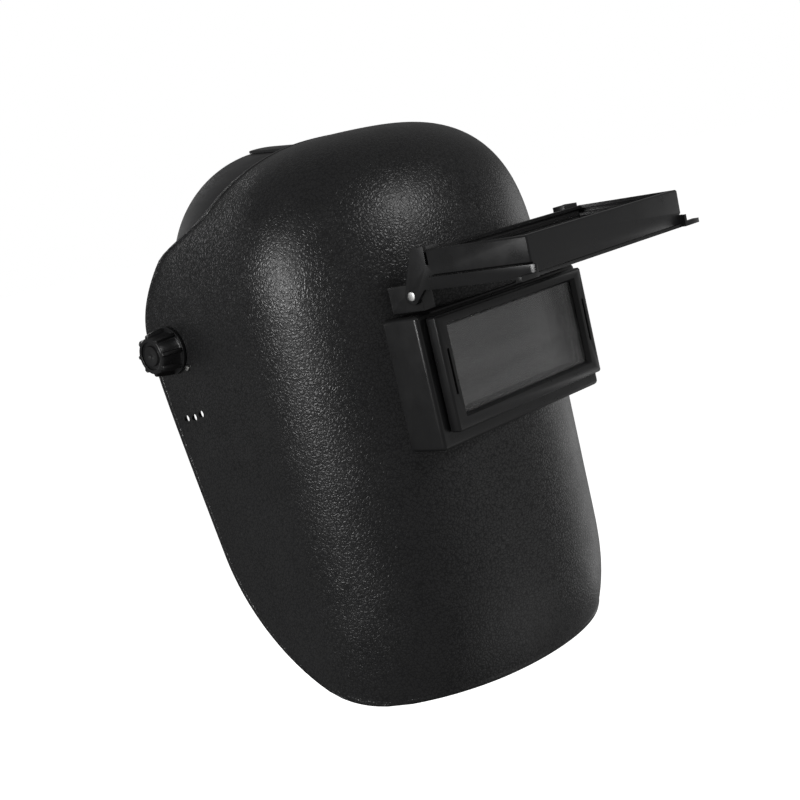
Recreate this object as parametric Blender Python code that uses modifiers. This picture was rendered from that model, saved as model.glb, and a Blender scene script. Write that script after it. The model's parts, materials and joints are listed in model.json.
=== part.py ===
"""Hand-tool safety gear: a welding helmet with a flip-up filter and ratchet headgear.

Metres, +Z up. The front of the helmet faces -Y and the wearer's left hand is at +X.
The origin is the centre of the headband, level with the two side pivots.
The shell is down and the filter holder is open.
"""
import math

import bmesh
import bpy
from mathutils import Matrix, Vector

# ---------------------------------------------------------------- driving dimensions
GAP = 0.0003                 # air left between pieces that touch

# the two turning axes, both parallel to X
PIVOT_Y = 0.021              # side knobs: the shell tilts about this line
PIVOT_Z = 0.0
HINGE_Y = -0.122             # filter holder's hinge
HINGE_Z = 0.005
OPEN_ANGLE = math.radians(88.6)

# moulded shell
SHELL_HALF_WIDTH = 0.0953
SHELL_WALL = 0.0024
SHELL_FRONT_Y = -0.1208
SHELL_TOP_Z = 0.0887
SHELL_BOTTOM_Z = -0.1947
DOME_START_Z = -0.0030       # the walls are upright below this height
DOME_POWER = 2.9
DOME_SETBACK = 0.0794        # how far the brow runs back at the top
FACE_DEPTH = 0.0790          # from the nose line back to the flat sides
FACE_POWER = 2.06
CHIN_SETBACK = 0.0105
CHIN_START_Z = -0.140
CHIN_POWER = 2.5
RIM_Y = 0.0378               # furthest point of the rear edge
RIM_Z = 0.0077
RIM_SLOPE_UP = 0.979
RIM_SLOPE_DOWN = 0.194
RIM_BLEND = 0.0292
BROW_NOTCH = 0.0190          # the rear edge steps this much further forwards above the temples
BROW_NOTCH_Z = 0.0450
BROW_NOTCH_RISE = 0.0190
JAW_RADIUS = 0.0808
HEM_SLOPE = 0.022            # the bottom edge climbs this much towards the rear
SHELL_LOW_ROWS = 13
SHELL_DOME_ROWS = 10
SHELL_COLUMNS = 36
SECTION_SAMPLES = 160
PAST = 0.0200                # how far a cutter runs past what it cuts
OVERLAP = 0.0010             # how far a joined solid reaches into its neighbour

# window block on the shell's front; heights are below the hinge line, depths ahead of it
BLOCK_HALF_WIDTH = 0.0629
BLOCK_TOP = 0.0092
BLOCK_BOTTOM = 0.0743
BLOCK_FRONT = 0.0019
BLOCK_BACK = -0.0240
BLOCK_WALL = 0.0024
BLOCK_OPENING_HALF_WIDTH = 0.0520
BLOCK_OPENING_HALF_HEIGHT = 0.0235
BLOCK_EDGE = 0.0022
CHAMBER_BACK = -0.0600       # the chamber cutter runs this far back, out of the shell

# fixed lens frame and the standard 108 x 51 mm lens
WINDOW_DROP = 0.0381         # window centre below the hinge line
FRAME_HALF_WIDTH = 0.0578
FRAME_TOP = 0.0112
FRAME_BOTTOM = 0.0667
FRAME_FRONT = 0.0090
VIEW_HALF_WIDTH = 0.0490
VIEW_HALF_HEIGHT = 0.0205
VIEW_BEVEL = 0.0022
LENS_HALF_WIDTH = 0.0540
LENS_HALF_HEIGHT = 0.0255
LENS_FRONT = 0.0063
COVER_GLASS = 0.0020
SNAP_X = 0.0560
SNAP_HALF_LENGTH = 0.0110
SNAP_THICKNESS = 0.0014
SNAP_BACK = -0.0030
SNAP_ROOM = 0.0004           # play round a snap in its slot
GROOVE_OUTER = 0.0014        # the groove in front of each snap, in from its middle
GROOVE_INNER = 0.0028
GROOVE_DEPTH = 0.0016
TONGUE_ROOT = 0.0030
BARB_REACH = 0.0020
INNER_LENS = 0.0012
RETAINER_HALF_WIDTH = 0.0600
RETAINER_HALF_HEIGHT = 0.0262
RETAINER_FRONT = 0.0024
RETAINER_BACK = 0.0046
SPRING_RADIUS = 0.0008
SPRING_HALF_WIDTH = 0.0515
SPRING_HALF_HEIGHT = 0.0232
SPRING_CORNER = 0.0050
SPRING_END_X = 0.0200

# hinge
PIN_RADIUS = 0.0022
PIN_HOLE_RADIUS = 0.0025
PIN_INNER_X = 0.0500
PIN_OUTER_X = 0.0608
LUG_INNER_X = 0.0495
LUG_OUTER_X = 0.0579
LUG_FRONT = 0.0036
LUG_BACK = -0.0185
LUG_TOP = 0.0056
LUG_BOTTOM = -0.0079

# flip-up holder, drawn closed: "drop" is measured down from the hinge, "reach" forwards
FLIP_HALF_WIDTH = 0.0613
FLIP_COVER_HALF_WIDTH = 0.0604
FLIP_TOP_DROP = 0.0138
FLIP_END_DROP = 0.0730
FLIP_BACK = 0.0022
FLIP_SEAM = 0.0080
FLIP_FRONT = 0.0204
FLIP_WALL = 0.0022
FLIP_RIM = 0.0036
FLIP_LEDGE_BACK = 0.0159
FLIP_LEDGE_FRONT = 0.0170
FLIP_RIM_BACK = 0.0189
ARM_TOP = 0.0220
TAB_REACH = 0.0102           # finger tabs, one at each free corner
TAB_INNER = 0.0012
TAB_OUTER = 0.0022
TAB_THICKNESS = 0.0022
TAB_RIB = 0.0021
END_STRIP = 0.0015           # what is left of the inner frame under the cover's end wall
ARM_BRIDGE_BACK = 0.0165     # the arms' inward blocks
ARM_BRIDGE_TOP = 0.0053
ARM_BRIDGE_END = 0.0128
FOOT_RADIUS = 0.0043
FILTER_FRAME_DROP = 0.0168   # the cover's top wall is relieved this far down for the lens frame
CLIP_HALF_WIDTH = 0.0578
CLIP_HALF_HEIGHT = 0.0255
CLIP_HOLE_HALF_WIDTH = 0.0502
CLIP_HOLE_HALF_HEIGHT = 0.0217
CLIP_THICKNESS = 0.0008
SHADE_GLASS = 0.0025
FILTER_DROP = 0.0418         # filter centre below the hinge line, holder closed
COVER_PLATE = 0.0010

# headgear
BAND_HALF_WIDTH = 0.0772     # to the middle of the strip
BAND_FRONT_Y = -0.0932
BAND_ARC_Y = -0.0270
BAND_ARM_END_Y = 0.0400
BAND_THICKNESS = 0.0020
BAND_HEIGHT = 0.0260
BAND_Z = 0.0050
REAR_HALF_WIDTH = 0.0748
REAR_START_Y = -0.0120
REAR_ARC_Y = 0.0290
REAR_BACK_Y = 0.0950
REAR_THICKNESS = 0.0018
REAR_HEIGHT = 0.0200
REAR_DROP = 0.0220
REAR_POWER = 2.8
TAIL_HEIGHT = 0.0060
TAIL_OFFSET = 0.0086
TAIL_REACH = 0.0260
PAD_THICKNESS = 0.0050
PAD_HEIGHT = 0.0340

# crown strap
STRAP_THICKNESS = 0.0014
STRAP_FRONT_Y = -0.0080
STRAP_BACK_Y = 0.0220
STRAP_TOP_Z = 0.0924
STRAP_HALF_SPAN = 0.0820
STRAP_SPRING_Z = 0.0280      # where the arch starts
STRAP_FRONT_DIP = 0.0038
STRAP_FOOT_Z = -0.0020
STRAP_FOOT_BACK_Y = 0.0040

# side pivots, measured out from the middle
PLATE_INNER_X = 0.0785
PLATE_OUTER_X = 0.0815
BOSS_OUTER_X = 0.0884
WASHER_OUTER_X = 0.0902
STOP_PLATE_X = 0.0905
STOP_PLATE_THICKNESS = 0.0013
BOSS_RADIUS = 0.0105
PIVOT_WASHER_RADIUS = 0.0130
BOLT_RADIUS = 0.0040
BOLT_HOLE_RADIUS = 0.0044
KNOB_FLANGE_RADIUS = 0.0127
KNOB_BASE_RADIUS = 0.0114
KNOB_FACE_RADIUS = 0.0098
KNOB_RIB = 0.0011
KNOB_RIBS = 8
KNOB_FLANGE_DEPTH = 0.0016
KNOB_DEPTH = 0.0130
STOP_PIN_RADIUS = 0.0015
STOP_PIN_OFFSET = 0.0146
STOP_PIN_ANGLE = math.radians(-136)
STOP_HOLE_RADIUS = 0.0018
STOP_HOLE_CIRCLE = 0.0368
STOP_HOLE_ANGLES = [math.radians(a) for a in (-88, -98, -108)]

# ratchet at the nape
RATCHET_Z = BAND_Z - REAR_DROP
RATCHET_HALF_WIDTH = 0.0310
RATCHET_HALF_HEIGHT = 0.0165
RATCHET_FRONT_Y = 0.0905
RATCHET_BACK_Y = 0.1010
RATCHET_COVER_DEPTH = 0.0022
RATCHET_WALL = 0.0020
PINION_RADIUS = 0.0050
PINION_TEETH = 10
RATCHET_KNOB_RADIUS = 0.0180
RATCHET_KNOB_DEPTH = 0.0130

SIDES = (-1, 1)              # the wearer's right and left
PARTS = "welding_helmet"
CUTTERS = "cutters"


# ---------------------------------------------------------------- scene and materials
def clear_scene():
    for obj in list(bpy.data.objects):
        bpy.data.objects.remove(obj, do_unlink=True)


def make_collection(name):
    collection = bpy.data.collections.new(name)
    bpy.context.scene.collection.children.link(collection)
    return collection


def make_material(name, colour, roughness, metallic=0.0, alpha=1.0):
    material = bpy.data.materials.new(name)
    material.use_nodes = True
    shader = material.node_tree.nodes["Principled BSDF"]
    shader.inputs["Base Color"].default_value = (*colour, 1.0)
    shader.inputs["Roughness"].default_value = roughness
    shader.inputs["Metallic"].default_value = metallic
    shader.inputs["Alpha"].default_value = alpha
    return material


def make_materials():
    return {
        "shell": make_material("grained_black", (0.018, 0.018, 0.019), 0.42),
        "satin": make_material("satin_black", (0.015, 0.015, 0.016), 0.34),
        "steel": make_material("bright_steel", (0.62, 0.62, 0.61), 0.25, 1.0),
        "clear": make_material("clear_glass", (0.75, 0.80, 0.80), 0.05, 0.0, 0.35),
        "shade": make_material("shade_glass", (0.02, 0.05, 0.03), 0.05),
        "rubber": make_material("black_rubber", (0.02, 0.02, 0.02), 0.80),
        "strap": make_material("strap_plastic", (0.03, 0.03, 0.032), 0.50),
        "pad": make_material("brow_pad", (0.04, 0.04, 0.045), 0.90),
    }


# ---------------------------------------------------------------- modelling helpers
def side_name(side):
    return "right" if side < 0 else "left"


def link_mesh(name, mesh, collection, material=None):
    obj = bpy.data.objects.new(name, mesh)
    collection.objects.link(obj)
    if material:
        mesh.materials.clear()
        mesh.materials.append(material)
    return obj


def mesh_from_bmesh(name, shape):
    mesh = bpy.data.meshes.new(name)
    bmesh.ops.recalc_face_normals(shape, faces=shape.faces)
    shape.to_mesh(mesh)
    shape.free()
    return mesh


def box_mesh(name, low, high):
    shape = bmesh.new()
    low, high = Vector(low), Vector(high)
    bmesh.ops.create_cube(shape, size=1.0)
    bmesh.ops.scale(shape, vec=high - low, verts=shape.verts)
    bmesh.ops.translate(shape, vec=(low + high) / 2, verts=shape.verts)
    return mesh_from_bmesh(name, shape)


def rod_mesh(name, x_low, x_high, radius, y, z, end_radius=None, segments=32):
    """A round bar or a cone along X."""
    shape = bmesh.new()
    length = x_high - x_low
    turn = Matrix.Rotation(math.pi / 2, 4, "Y")
    place = Matrix.Translation(((x_low + x_high) / 2, y, z))
    bmesh.ops.create_cone(shape, cap_ends=True, segments=segments, radius1=radius,
                          radius2=radius if end_radius is None else end_radius,
                          depth=length, matrix=place @ turn)
    return mesh_from_bmesh(name, shape)


def plate_mesh(name, outline, low, high):
    """An outline of (y, z) points, as thick as the span from low to high along X."""
    curve = bpy.data.curves.new(name, "CURVE")
    curve.dimensions = "2D"
    curve.fill_mode = "BOTH"
    curve.extrude = (high - low) / 2
    spline = curve.splines.new("POLY")
    spline.points.add(len(outline) - 1)
    for point, (y, z) in zip(spline.points, outline):
        point.co = (y, z, 0.0, 1.0)
    spline.use_cyclic_u = True
    guide = bpy.data.objects.new(name + "_outline", curve)
    bpy.context.scene.collection.objects.link(guide)
    bpy.context.view_layer.update()
    depsgraph = bpy.context.evaluated_depsgraph_get()
    mesh = bpy.data.meshes.new_from_object(guide.evaluated_get(depsgraph))
    bpy.data.objects.remove(guide, do_unlink=True)
    bpy.data.curves.remove(curve)
    axes = Matrix(((0, 0, 1, (low + high) / 2), (1, 0, 0, 0), (0, 1, 0, 0), (0, 0, 0, 1)))
    mesh.transform(axes)
    shape = bmesh.new()
    shape.from_mesh(mesh)
    bmesh.ops.remove_doubles(shape, verts=shape.verts, dist=0.00001)
    bpy.data.meshes.remove(mesh)
    return mesh_from_bmesh(name, shape)


def arc_points(centre, radius, start, end, steps):
    return [(centre[0] + radius * math.cos(start + (end - start) * i / steps),
             centre[1] + radius * math.sin(start + (end - start) * i / steps))
            for i in range(steps + 1)]


def rounded_outline(y_low, y_high, z_low, z_high, radius, steps=5):
    corners = [((y_high - radius, z_high - radius), 0), ((y_low + radius, z_high - radius), 1),
               ((y_low + radius, z_low + radius), 2), ((y_high - radius, z_low + radius), 3)]
    points = []
    for centre, quarter in corners:
        start = quarter * math.pi / 2
        points += arc_points(centre, radius, start, start + math.pi / 2, steps)
    return points


def add_modifier_boolean(obj, other, operation):
    modifier = obj.modifiers.new(operation.lower() + "_" + other.name, "BOOLEAN")
    modifier.operation = operation
    modifier.object = other
    return modifier


def add_bevel(obj, width, segments=2):
    modifier = obj.modifiers.new("rounded_edges", "BEVEL")
    modifier.width = width
    modifier.segments = segments
    modifier.limit_method = "ANGLE"
    modifier.angle_limit = math.radians(40)
    return modifier


class Workshop:
    """Keeps the collections, the materials and the running count of cutters."""

    def __init__(self):
        self.parts = make_collection(PARTS)
        self.cutters = make_collection(CUTTERS)
        self.materials = make_materials()
        self.count = 0

    def piece(self, name, mesh, material):
        return link_mesh(name, mesh, self.parts, self.materials[material])

    def tool(self, mesh, parent=None):
        """A hidden solid that cuts a piece or is joined to it."""
        self.count += 1
        obj = link_mesh(f"tool_{self.count:03d}", mesh, self.cutters)
        obj.hide_render = True
        obj.display_type = "WIRE"
        obj.parent = parent
        return obj

    def cut(self, obj, mesh):
        return add_modifier_boolean(obj, self.tool(mesh, obj.parent), "DIFFERENCE")

    def join(self, obj, mesh):
        return add_modifier_boolean(obj, self.tool(mesh, obj.parent), "UNION")


def ease(share):
    """A share from 0 to 1 that starts and ends gently."""
    return share * share * (3 - 2 * share)


# ---------------------------------------------------------------- shell surface
def dome_factor(z):
    rise = (z - DOME_START_Z) / (SHELL_TOP_Z - DOME_START_Z)
    rise = min(max(rise, 0.0), 1.0)
    return max(1.0 - rise ** DOME_POWER, 0.0) ** (1.0 / DOME_POWER)


def shell_front(z):
    chin = max(0.0, (CHIN_START_Z - z) / (CHIN_START_Z - SHELL_BOTTOM_Z))
    return SHELL_FRONT_Y + DOME_SETBACK * (1 - dome_factor(z)) + CHIN_SETBACK * chin ** CHIN_POWER


def shell_rim(z):
    slope = RIM_SLOPE_UP if z > RIM_Z else RIM_SLOPE_DOWN
    rim = RIM_Y - slope * (math.hypot(z - RIM_Z, RIM_BLEND) - RIM_BLEND)
    height = z - SHELL_BOTTOM_Z
    if height < JAW_RADIUS:
        rim -= JAW_RADIUS - math.sqrt(max(JAW_RADIUS ** 2 - (JAW_RADIUS - height) ** 2, 0.0))
    notch = min(max((z - BROW_NOTCH_Z) / BROW_NOTCH_RISE, 0.0), 1.0)
    return rim - BROW_NOTCH * ease(notch)


def spread_evenly(points, count):
    """The same line through count + 1 points that are equally far apart along it."""
    lengths = [0.0]
    for first, second in zip(points, points[1:]):
        lengths.append(lengths[-1] + math.dist(first, second))
    places, j = [], 0
    for i in range(count + 1):
        target = lengths[-1] * i / count
        while j < len(points) - 2 and lengths[j + 1] < target:
            j += 1
        step = lengths[j + 1] - lengths[j]
        part = min((target - lengths[j]) / step, 1.0) if step > 0 else 0.0
        places.append(tuple(a + (b - a) * part for a, b in zip(points[j], points[j + 1])))
    return places


def shell_section(z):
    """One level line round the face, from the right rear edge to the left one."""
    factor = dome_factor(z)
    half_width = SHELL_HALF_WIDTH * factor
    front = shell_front(z)
    depth = FACE_DEPTH * factor
    side = front + depth
    rim = shell_rim(z)
    hem = HEM_SLOPE * min(max((DOME_START_Z - z) / (DOME_START_Z - SHELL_BOTTOM_Z), 0.0), 1.0)
    first = 0.0 if rim > side else math.asin(((side - rim) / depth) ** (FACE_POWER / 2))
    half = [(-half_width, rim)] if rim > side else []
    for i in range(SECTION_SAMPLES + 1):
        angle = first + (math.pi / 2 - first) * i / SECTION_SAMPLES
        across, ahead = math.cos(angle), math.sin(angle)
        half.append((-half_width * max(across, 0.0) ** (2 / FACE_POWER),
                     side - depth * ahead ** (2 / FACE_POWER)))
    half = spread_evenly(half, SHELL_COLUMNS // 2)
    outline = half + [(-x, y) for x, y in reversed(half[:-1])]
    return [Vector((x, y, z + hem * (y - SHELL_FRONT_Y))) for x, y in outline]


def shell_levels():
    low = DOME_START_Z - SHELL_BOTTOM_Z
    levels = [SHELL_BOTTOM_Z + low * (1 - math.cos(math.pi / 2 * i / SHELL_LOW_ROWS))
              for i in range(SHELL_LOW_ROWS)]
    high = SHELL_TOP_Z - DOME_START_Z
    levels += [DOME_START_Z + high * math.sin(math.pi / 2 * i / SHELL_DOME_ROWS)
               for i in range(SHELL_DOME_ROWS + 1)]
    return levels


def shell_surface(name):
    shape = bmesh.new()
    rows = [[shape.verts.new(p) for p in shell_section(z)] for z in shell_levels()]
    for lower, upper in zip(rows, rows[1:]):
        for i in range(len(lower) - 1):
            shape.faces.new((lower[i], lower[i + 1], upper[i + 1], upper[i]))
    bmesh.ops.remove_doubles(shape, verts=shape.verts, dist=0.00002)
    bmesh.ops.dissolve_degenerate(shape, edges=shape.edges, dist=0.00001)
    mesh = bpy.data.meshes.new(name)
    shape.to_mesh(mesh)
    shape.free()
    return mesh


def block_box(name, half_width, top, bottom, front, back):
    """A box given by its drop below the hinge line and its depth ahead of it."""
    return box_mesh(name, (-half_width, HINGE_Y - front, HINGE_Z - bottom),
                    (half_width, HINGE_Y - back, HINGE_Z - top))


def side_box(name, side, x_low, x_high, top, bottom, front, back):
    """The same for one side; side is -1 on the wearer's right and +1 on the left."""
    xs = sorted((side * x_low, side * x_high))
    return box_mesh(name, (xs[0], HINGE_Y - front, HINGE_Z - bottom),
                    (xs[1], HINGE_Y - back, HINGE_Z - top))


def side_rod(name, side, x_low, x_high, radius, y, z, segments=32):
    xs = sorted((side * x_low, side * x_high))
    return rod_mesh(name, xs[0], xs[1], radius, y, z, segments=segments)


def stop_hole_place(angle, circle):
    return PIVOT_Y + circle * math.cos(angle), PIVOT_Z + circle * math.sin(angle)


def make_shell(shop):
    shell = shop.piece("face_shell", shell_surface("face_shell"), "shell")
    wall = shell.modifiers.new("wall", "SOLIDIFY")
    wall.thickness = SHELL_WALL
    wall.offset = -1.0
    wall.use_even_offset = True
    block = shop.tool(block_box("window_block", BLOCK_HALF_WIDTH, BLOCK_TOP, BLOCK_BOTTOM,
                                BLOCK_FRONT, BLOCK_BACK))
    add_bevel(block, BLOCK_EDGE)
    add_modifier_boolean(shell, block, "UNION")
    for side in SIDES:
        shop.join(shell, side_box("hinge_lug", side, LUG_INNER_X, LUG_OUTER_X, -LUG_TOP,
                                  -LUG_BOTTOM, LUG_FRONT, LUG_BACK))
    shop.cut(shell, block_box("lens_chamber", BLOCK_HALF_WIDTH - BLOCK_WALL,
                              BLOCK_TOP + BLOCK_WALL, BLOCK_BOTTOM - BLOCK_WALL,
                              BLOCK_FRONT - BLOCK_WALL, CHAMBER_BACK))
    shop.cut(shell, window_box("window", BLOCK_OPENING_HALF_WIDTH, BLOCK_OPENING_HALF_HEIGHT,
                               PAST, -PAST))
    for side in SIDES:
        make_side_holes(shop, shell, side)
    return shell


def make_side_holes(shop, shell, side):
    """The snap slot, the hinge hole and the round holes on one side of the shell."""
    half_length = SNAP_HALF_LENGTH + SNAP_ROOM
    shop.cut(shell, side_box("snap_slot", side, SNAP_X - SNAP_THICKNESS / 2 - GAP,
                             SNAP_X + SNAP_THICKNESS / 2 + GAP, WINDOW_DROP - half_length,
                             WINDOW_DROP + half_length, PAST, 2 * SNAP_BACK))
    shop.cut(shell, side_rod("hinge_hole", side, LUG_INNER_X - OVERLAP, LUG_OUTER_X + OVERLAP,
                             PIN_HOLE_RADIUS, HINGE_Y, HINGE_Z, 20))
    low, high = SHELL_HALF_WIDTH - PAST / 2, SHELL_HALF_WIDTH + PAST / 2
    shop.cut(shell, side_rod("pivot_hole", side, low, high, BOLT_HOLE_RADIUS, PIVOT_Y, PIVOT_Z, 24))
    y, z = stop_hole_place(STOP_PIN_ANGLE, STOP_PIN_OFFSET)
    shop.cut(shell, side_rod("stop_pin_hole", side, low, high, STOP_PIN_RADIUS + GAP, y, z, 14))
    for angle in STOP_HOLE_ANGLES:
        y, z = stop_hole_place(angle, STOP_HOLE_CIRCLE)
        shop.cut(shell, side_rod("stop_hole", side, low, high, STOP_HOLE_RADIUS, y, z, 14))


# ---------------------------------------------------------------- fixed window
def window_box(name, half_width, half_height, front, back):
    return block_box(name, half_width, WINDOW_DROP - half_height, WINDOW_DROP + half_height,
                     front, back)


def view_cutter(name, front, back):
    """The see-through opening, wider at its front face so that the edge is bevelled."""
    shape = bmesh.new()
    bmesh.ops.create_cube(shape, size=1.0)
    for vert in shape.verts:
        grow = VIEW_BEVEL if vert.co.y < 0 else 0.0
        vert.co = (math.copysign(VIEW_HALF_WIDTH + grow, vert.co.x),
                   HINGE_Y - (front if vert.co.y < 0 else back),
                   HINGE_Z - WINDOW_DROP + math.copysign(VIEW_HALF_HEIGHT + grow, vert.co.z))
    return mesh_from_bmesh(name, shape)


def make_window(shop):
    back = BLOCK_FRONT + GAP
    frame = shop.piece("lens_frame", block_box("lens_frame", FRAME_HALF_WIDTH, FRAME_TOP,
                                               FRAME_BOTTOM, FRAME_FRONT, back), "satin")
    add_bevel(frame, 0.0009, 1)
    shop.cut(frame, view_cutter("view_opening", FRAME_FRONT + 0.0001, LENS_FRONT - OVERLAP))
    shop.cut(frame, window_box("lens_pocket", LENS_HALF_WIDTH + GAP, LENS_HALF_HEIGHT + GAP,
                               LENS_FRONT + GAP, 0.0))
    for side in SIDES:
        make_snap(shop, frame, side)

    glass_back = LENS_FRONT - COVER_GLASS
    shop.piece("clear_lens", window_box("clear_lens", LENS_HALF_WIDTH, LENS_HALF_HEIGHT,
                                        LENS_FRONT, glass_back), "clear")
    gasket = shop.piece("lens_gasket", window_box("lens_gasket", LENS_HALF_WIDTH, LENS_HALF_HEIGHT,
                                                  glass_back - GAP, back + GAP), "rubber")
    shop.cut(gasket, window_box("gasket_hole", VIEW_HALF_WIDTH, VIEW_HALF_HEIGHT, PAST, 0.0))

    inner_front = BLOCK_FRONT - BLOCK_WALL - GAP
    inner_back = inner_front - INNER_LENS
    shop.piece("inner_lens", window_box("inner_lens", LENS_HALF_WIDTH, LENS_HALF_HEIGHT,
                                        inner_front, inner_back), "clear")
    holder_front = inner_back - GAP
    holder = shop.piece("inner_lens_retainer",
                        window_box("inner_lens_retainer", RETAINER_HALF_WIDTH, RETAINER_HALF_HEIGHT,
                                   holder_front - RETAINER_FRONT, holder_front - RETAINER_BACK),
                        "satin")
    shop.cut(holder, window_box("retainer_hole", VIEW_HALF_WIDTH, VIEW_HALF_HEIGHT, 0.0, -PAST))
    shop.piece("retainer_spring", retainer_spring("retainer_spring", holder_front), "steel")
    for side in SIDES:
        pin = side_rod("hinge_pin", side, PIN_INNER_X, PIN_OUTER_X, PIN_RADIUS, HINGE_Y, HINGE_Z, 20)
        shop.piece(f"hinge_pin_{side_name(side)}", pin, "steel")


def make_snap(shop, frame, side):
    """The groove, the tongue and its barb that hold one end of the lens frame in the block."""
    top, bottom = WINDOW_DROP - SNAP_HALF_LENGTH, WINDOW_DROP + SNAP_HALF_LENGTH
    shop.cut(frame, side_box("groove", side, SNAP_X - GROOVE_INNER, SNAP_X - GROOVE_OUTER,
                             top, bottom, PAST, FRAME_FRONT - GROOVE_DEPTH))
    inner, outer = SNAP_X - SNAP_THICKNESS / 2, SNAP_X + SNAP_THICKNESS / 2
    shop.join(frame, side_box("tongue", side, inner, outer, top, bottom,
                              FRAME_FRONT - TONGUE_ROOT, SNAP_BACK))
    shop.join(frame, side_box("barb", side, inner, SNAP_X + BARB_REACH, top, bottom,
                              BLOCK_FRONT - BLOCK_WALL - GAP, SNAP_BACK))


def retainer_spring(name, front):
    """A bent spring wire, open at the bottom, that presses the inner lens forwards."""
    depth = HINGE_Y - front + SPRING_RADIUS
    middle = HINGE_Z - WINDOW_DROP
    side_x, low_z = -SPRING_HALF_WIDTH + SPRING_CORNER, -SPRING_HALF_HEIGHT + SPRING_CORNER
    right = [(-SPRING_END_X, -SPRING_HALF_HEIGHT)]
    right += arc_points((side_x, low_z), SPRING_CORNER, -math.pi / 2, -math.pi, 3)
    right += arc_points((side_x, -low_z), SPRING_CORNER, math.pi, math.pi / 2, 3)
    route = right + [(-x, z) for x, z in reversed(right)]
    return wire_mesh(name, [(x, depth, middle + z) for x, z in route], SPRING_RADIUS, 2)


def wire_mesh(name, route, radius, resolution):
    curve = bpy.data.curves.new(name, "CURVE")
    curve.dimensions = "3D"
    curve.bevel_depth = radius
    curve.bevel_resolution = resolution
    curve.use_fill_caps = True
    spline = curve.splines.new("POLY")
    spline.points.add(len(route) - 1)
    for point, place in zip(spline.points, route):
        point.co = (*place, 1.0)
    guide = bpy.data.objects.new(name + "_route", curve)
    bpy.context.scene.collection.objects.link(guide)
    bpy.context.view_layer.update()
    depsgraph = bpy.context.evaluated_depsgraph_get()
    mesh = bpy.data.meshes.new_from_object(guide.evaluated_get(depsgraph))
    bpy.data.objects.remove(guide, do_unlink=True)
    bpy.data.curves.remove(curve)
    shape = bmesh.new()
    shape.from_mesh(mesh)
    bmesh.ops.remove_doubles(shape, verts=shape.verts, dist=0.00001)
    bpy.data.meshes.remove(mesh)
    return mesh_from_bmesh(name, shape)


# ---------------------------------------------------------------- flip-up filter holder
def flip_box(name, x_low, x_high, drop_low, drop_high, reach_low, reach_high):
    """A box in the holder's own axes: its hinge line is the origin, drawn closed."""
    return box_mesh(name, (x_low, -reach_high, -drop_high), (x_high, -reach_low, -drop_low))


def flip_window(name, half_width, half_height, reach_low, reach_high):
    return flip_box(name, -half_width, half_width, FILTER_DROP - half_height,
                    FILTER_DROP + half_height, reach_low, reach_high)


def flip_arm(name, side):
    """The plate that carries the holder on its pin, as an outline of (y, z) points."""
    corners = ((0.0165, 0.0086), (0.0165, 0.0135), (ARM_BRIDGE_END, 0.0135),
               (ARM_BRIDGE_END, ARM_TOP), (ARM_BRIDGE_TOP, ARM_TOP), (-0.0035, 0.0026))
    outline = [(-reach, -drop) for drop, reach in corners]
    foot = arc_points((0.0, 0.0), FOOT_RADIUS, math.radians(-60), math.radians(-215), 8)
    outline += [(-reach, -drop) for reach, drop in foot]
    outline += [(-0.0023, -0.0085), (-0.0023, -0.0132), (-0.0086, -0.0132)]
    xs = sorted((side * (LUG_OUTER_X + GAP), side * FLIP_COVER_HALF_WIDTH))
    return plate_mesh(name, outline, xs[0], xs[1])


def make_flip_cover(shop, piece):
    cover_back = FLIP_SEAM + GAP
    width = FLIP_COVER_HALF_WIDTH
    cover = piece("flip_cover", flip_box("flip_cover", -width, width, FLIP_TOP_DROP,
                                         FLIP_END_DROP, cover_back, FLIP_FRONT), "satin")
    add_bevel(cover, 0.0007, 1)
    inner = width - FLIP_WALL
    shop.cut(cover, flip_box("cover_hollow", -inner, inner, FLIP_TOP_DROP + FLIP_WALL,
                             FLIP_END_DROP - FLIP_WALL, 0.0, FLIP_LEDGE_BACK))
    shop.cut(cover, flip_box("frame_relief", -inner, inner, 0.0, FILTER_FRAME_DROP,
                             0.0, FRAME_FRONT + 3 * GAP))
    shop.cut(cover, flip_box("cover_recess", -inner, inner, FLIP_TOP_DROP + FLIP_WALL,
                             FLIP_END_DROP - FLIP_WALL, FLIP_LEDGE_FRONT, FLIP_RIM_BACK))
    shop.cut(cover, flip_window("ledge_opening", VIEW_HALF_WIDTH, VIEW_HALF_HEIGHT,
                                FLIP_LEDGE_BACK - OVERLAP, PAST))
    rim = width - FLIP_RIM
    shop.cut(cover, flip_box("rim_opening", -rim, rim, FLIP_TOP_DROP + FLIP_RIM,
                             FLIP_END_DROP - FLIP_RIM, FLIP_LEDGE_FRONT + OVERLAP, FLIP_FRONT + PAST))
    lip = FLIP_HALF_WIDTH - FLIP_WALL - GAP
    shop.join(cover, flip_box("cover_lip", -lip, lip, FLIP_END_DROP - FLIP_WALL, FLIP_END_DROP,
                              FLIP_BACK + END_STRIP + GAP, cover_back + 2 * OVERLAP))
    for side in SIDES:
        shop.join(cover, flip_arm("flip_arm", side))
        xs = sorted((side * LUG_INNER_X, side * (LUG_OUTER_X + OVERLAP)))
        shop.join(cover, flip_box("arm_bridge", xs[0], xs[1], ARM_BRIDGE_TOP + 0.0001,
                                  ARM_BRIDGE_END - 0.0001, ARM_BRIDGE_BACK, ARM_TOP - 0.0001))
        shop.cut(cover, side_rod("arm_hole", side, LUG_OUTER_X - OVERLAP, FLIP_HALF_WIDTH + OVERLAP,
                                 PIN_HOLE_RADIUS, 0.0, 0.0, 20))


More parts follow.
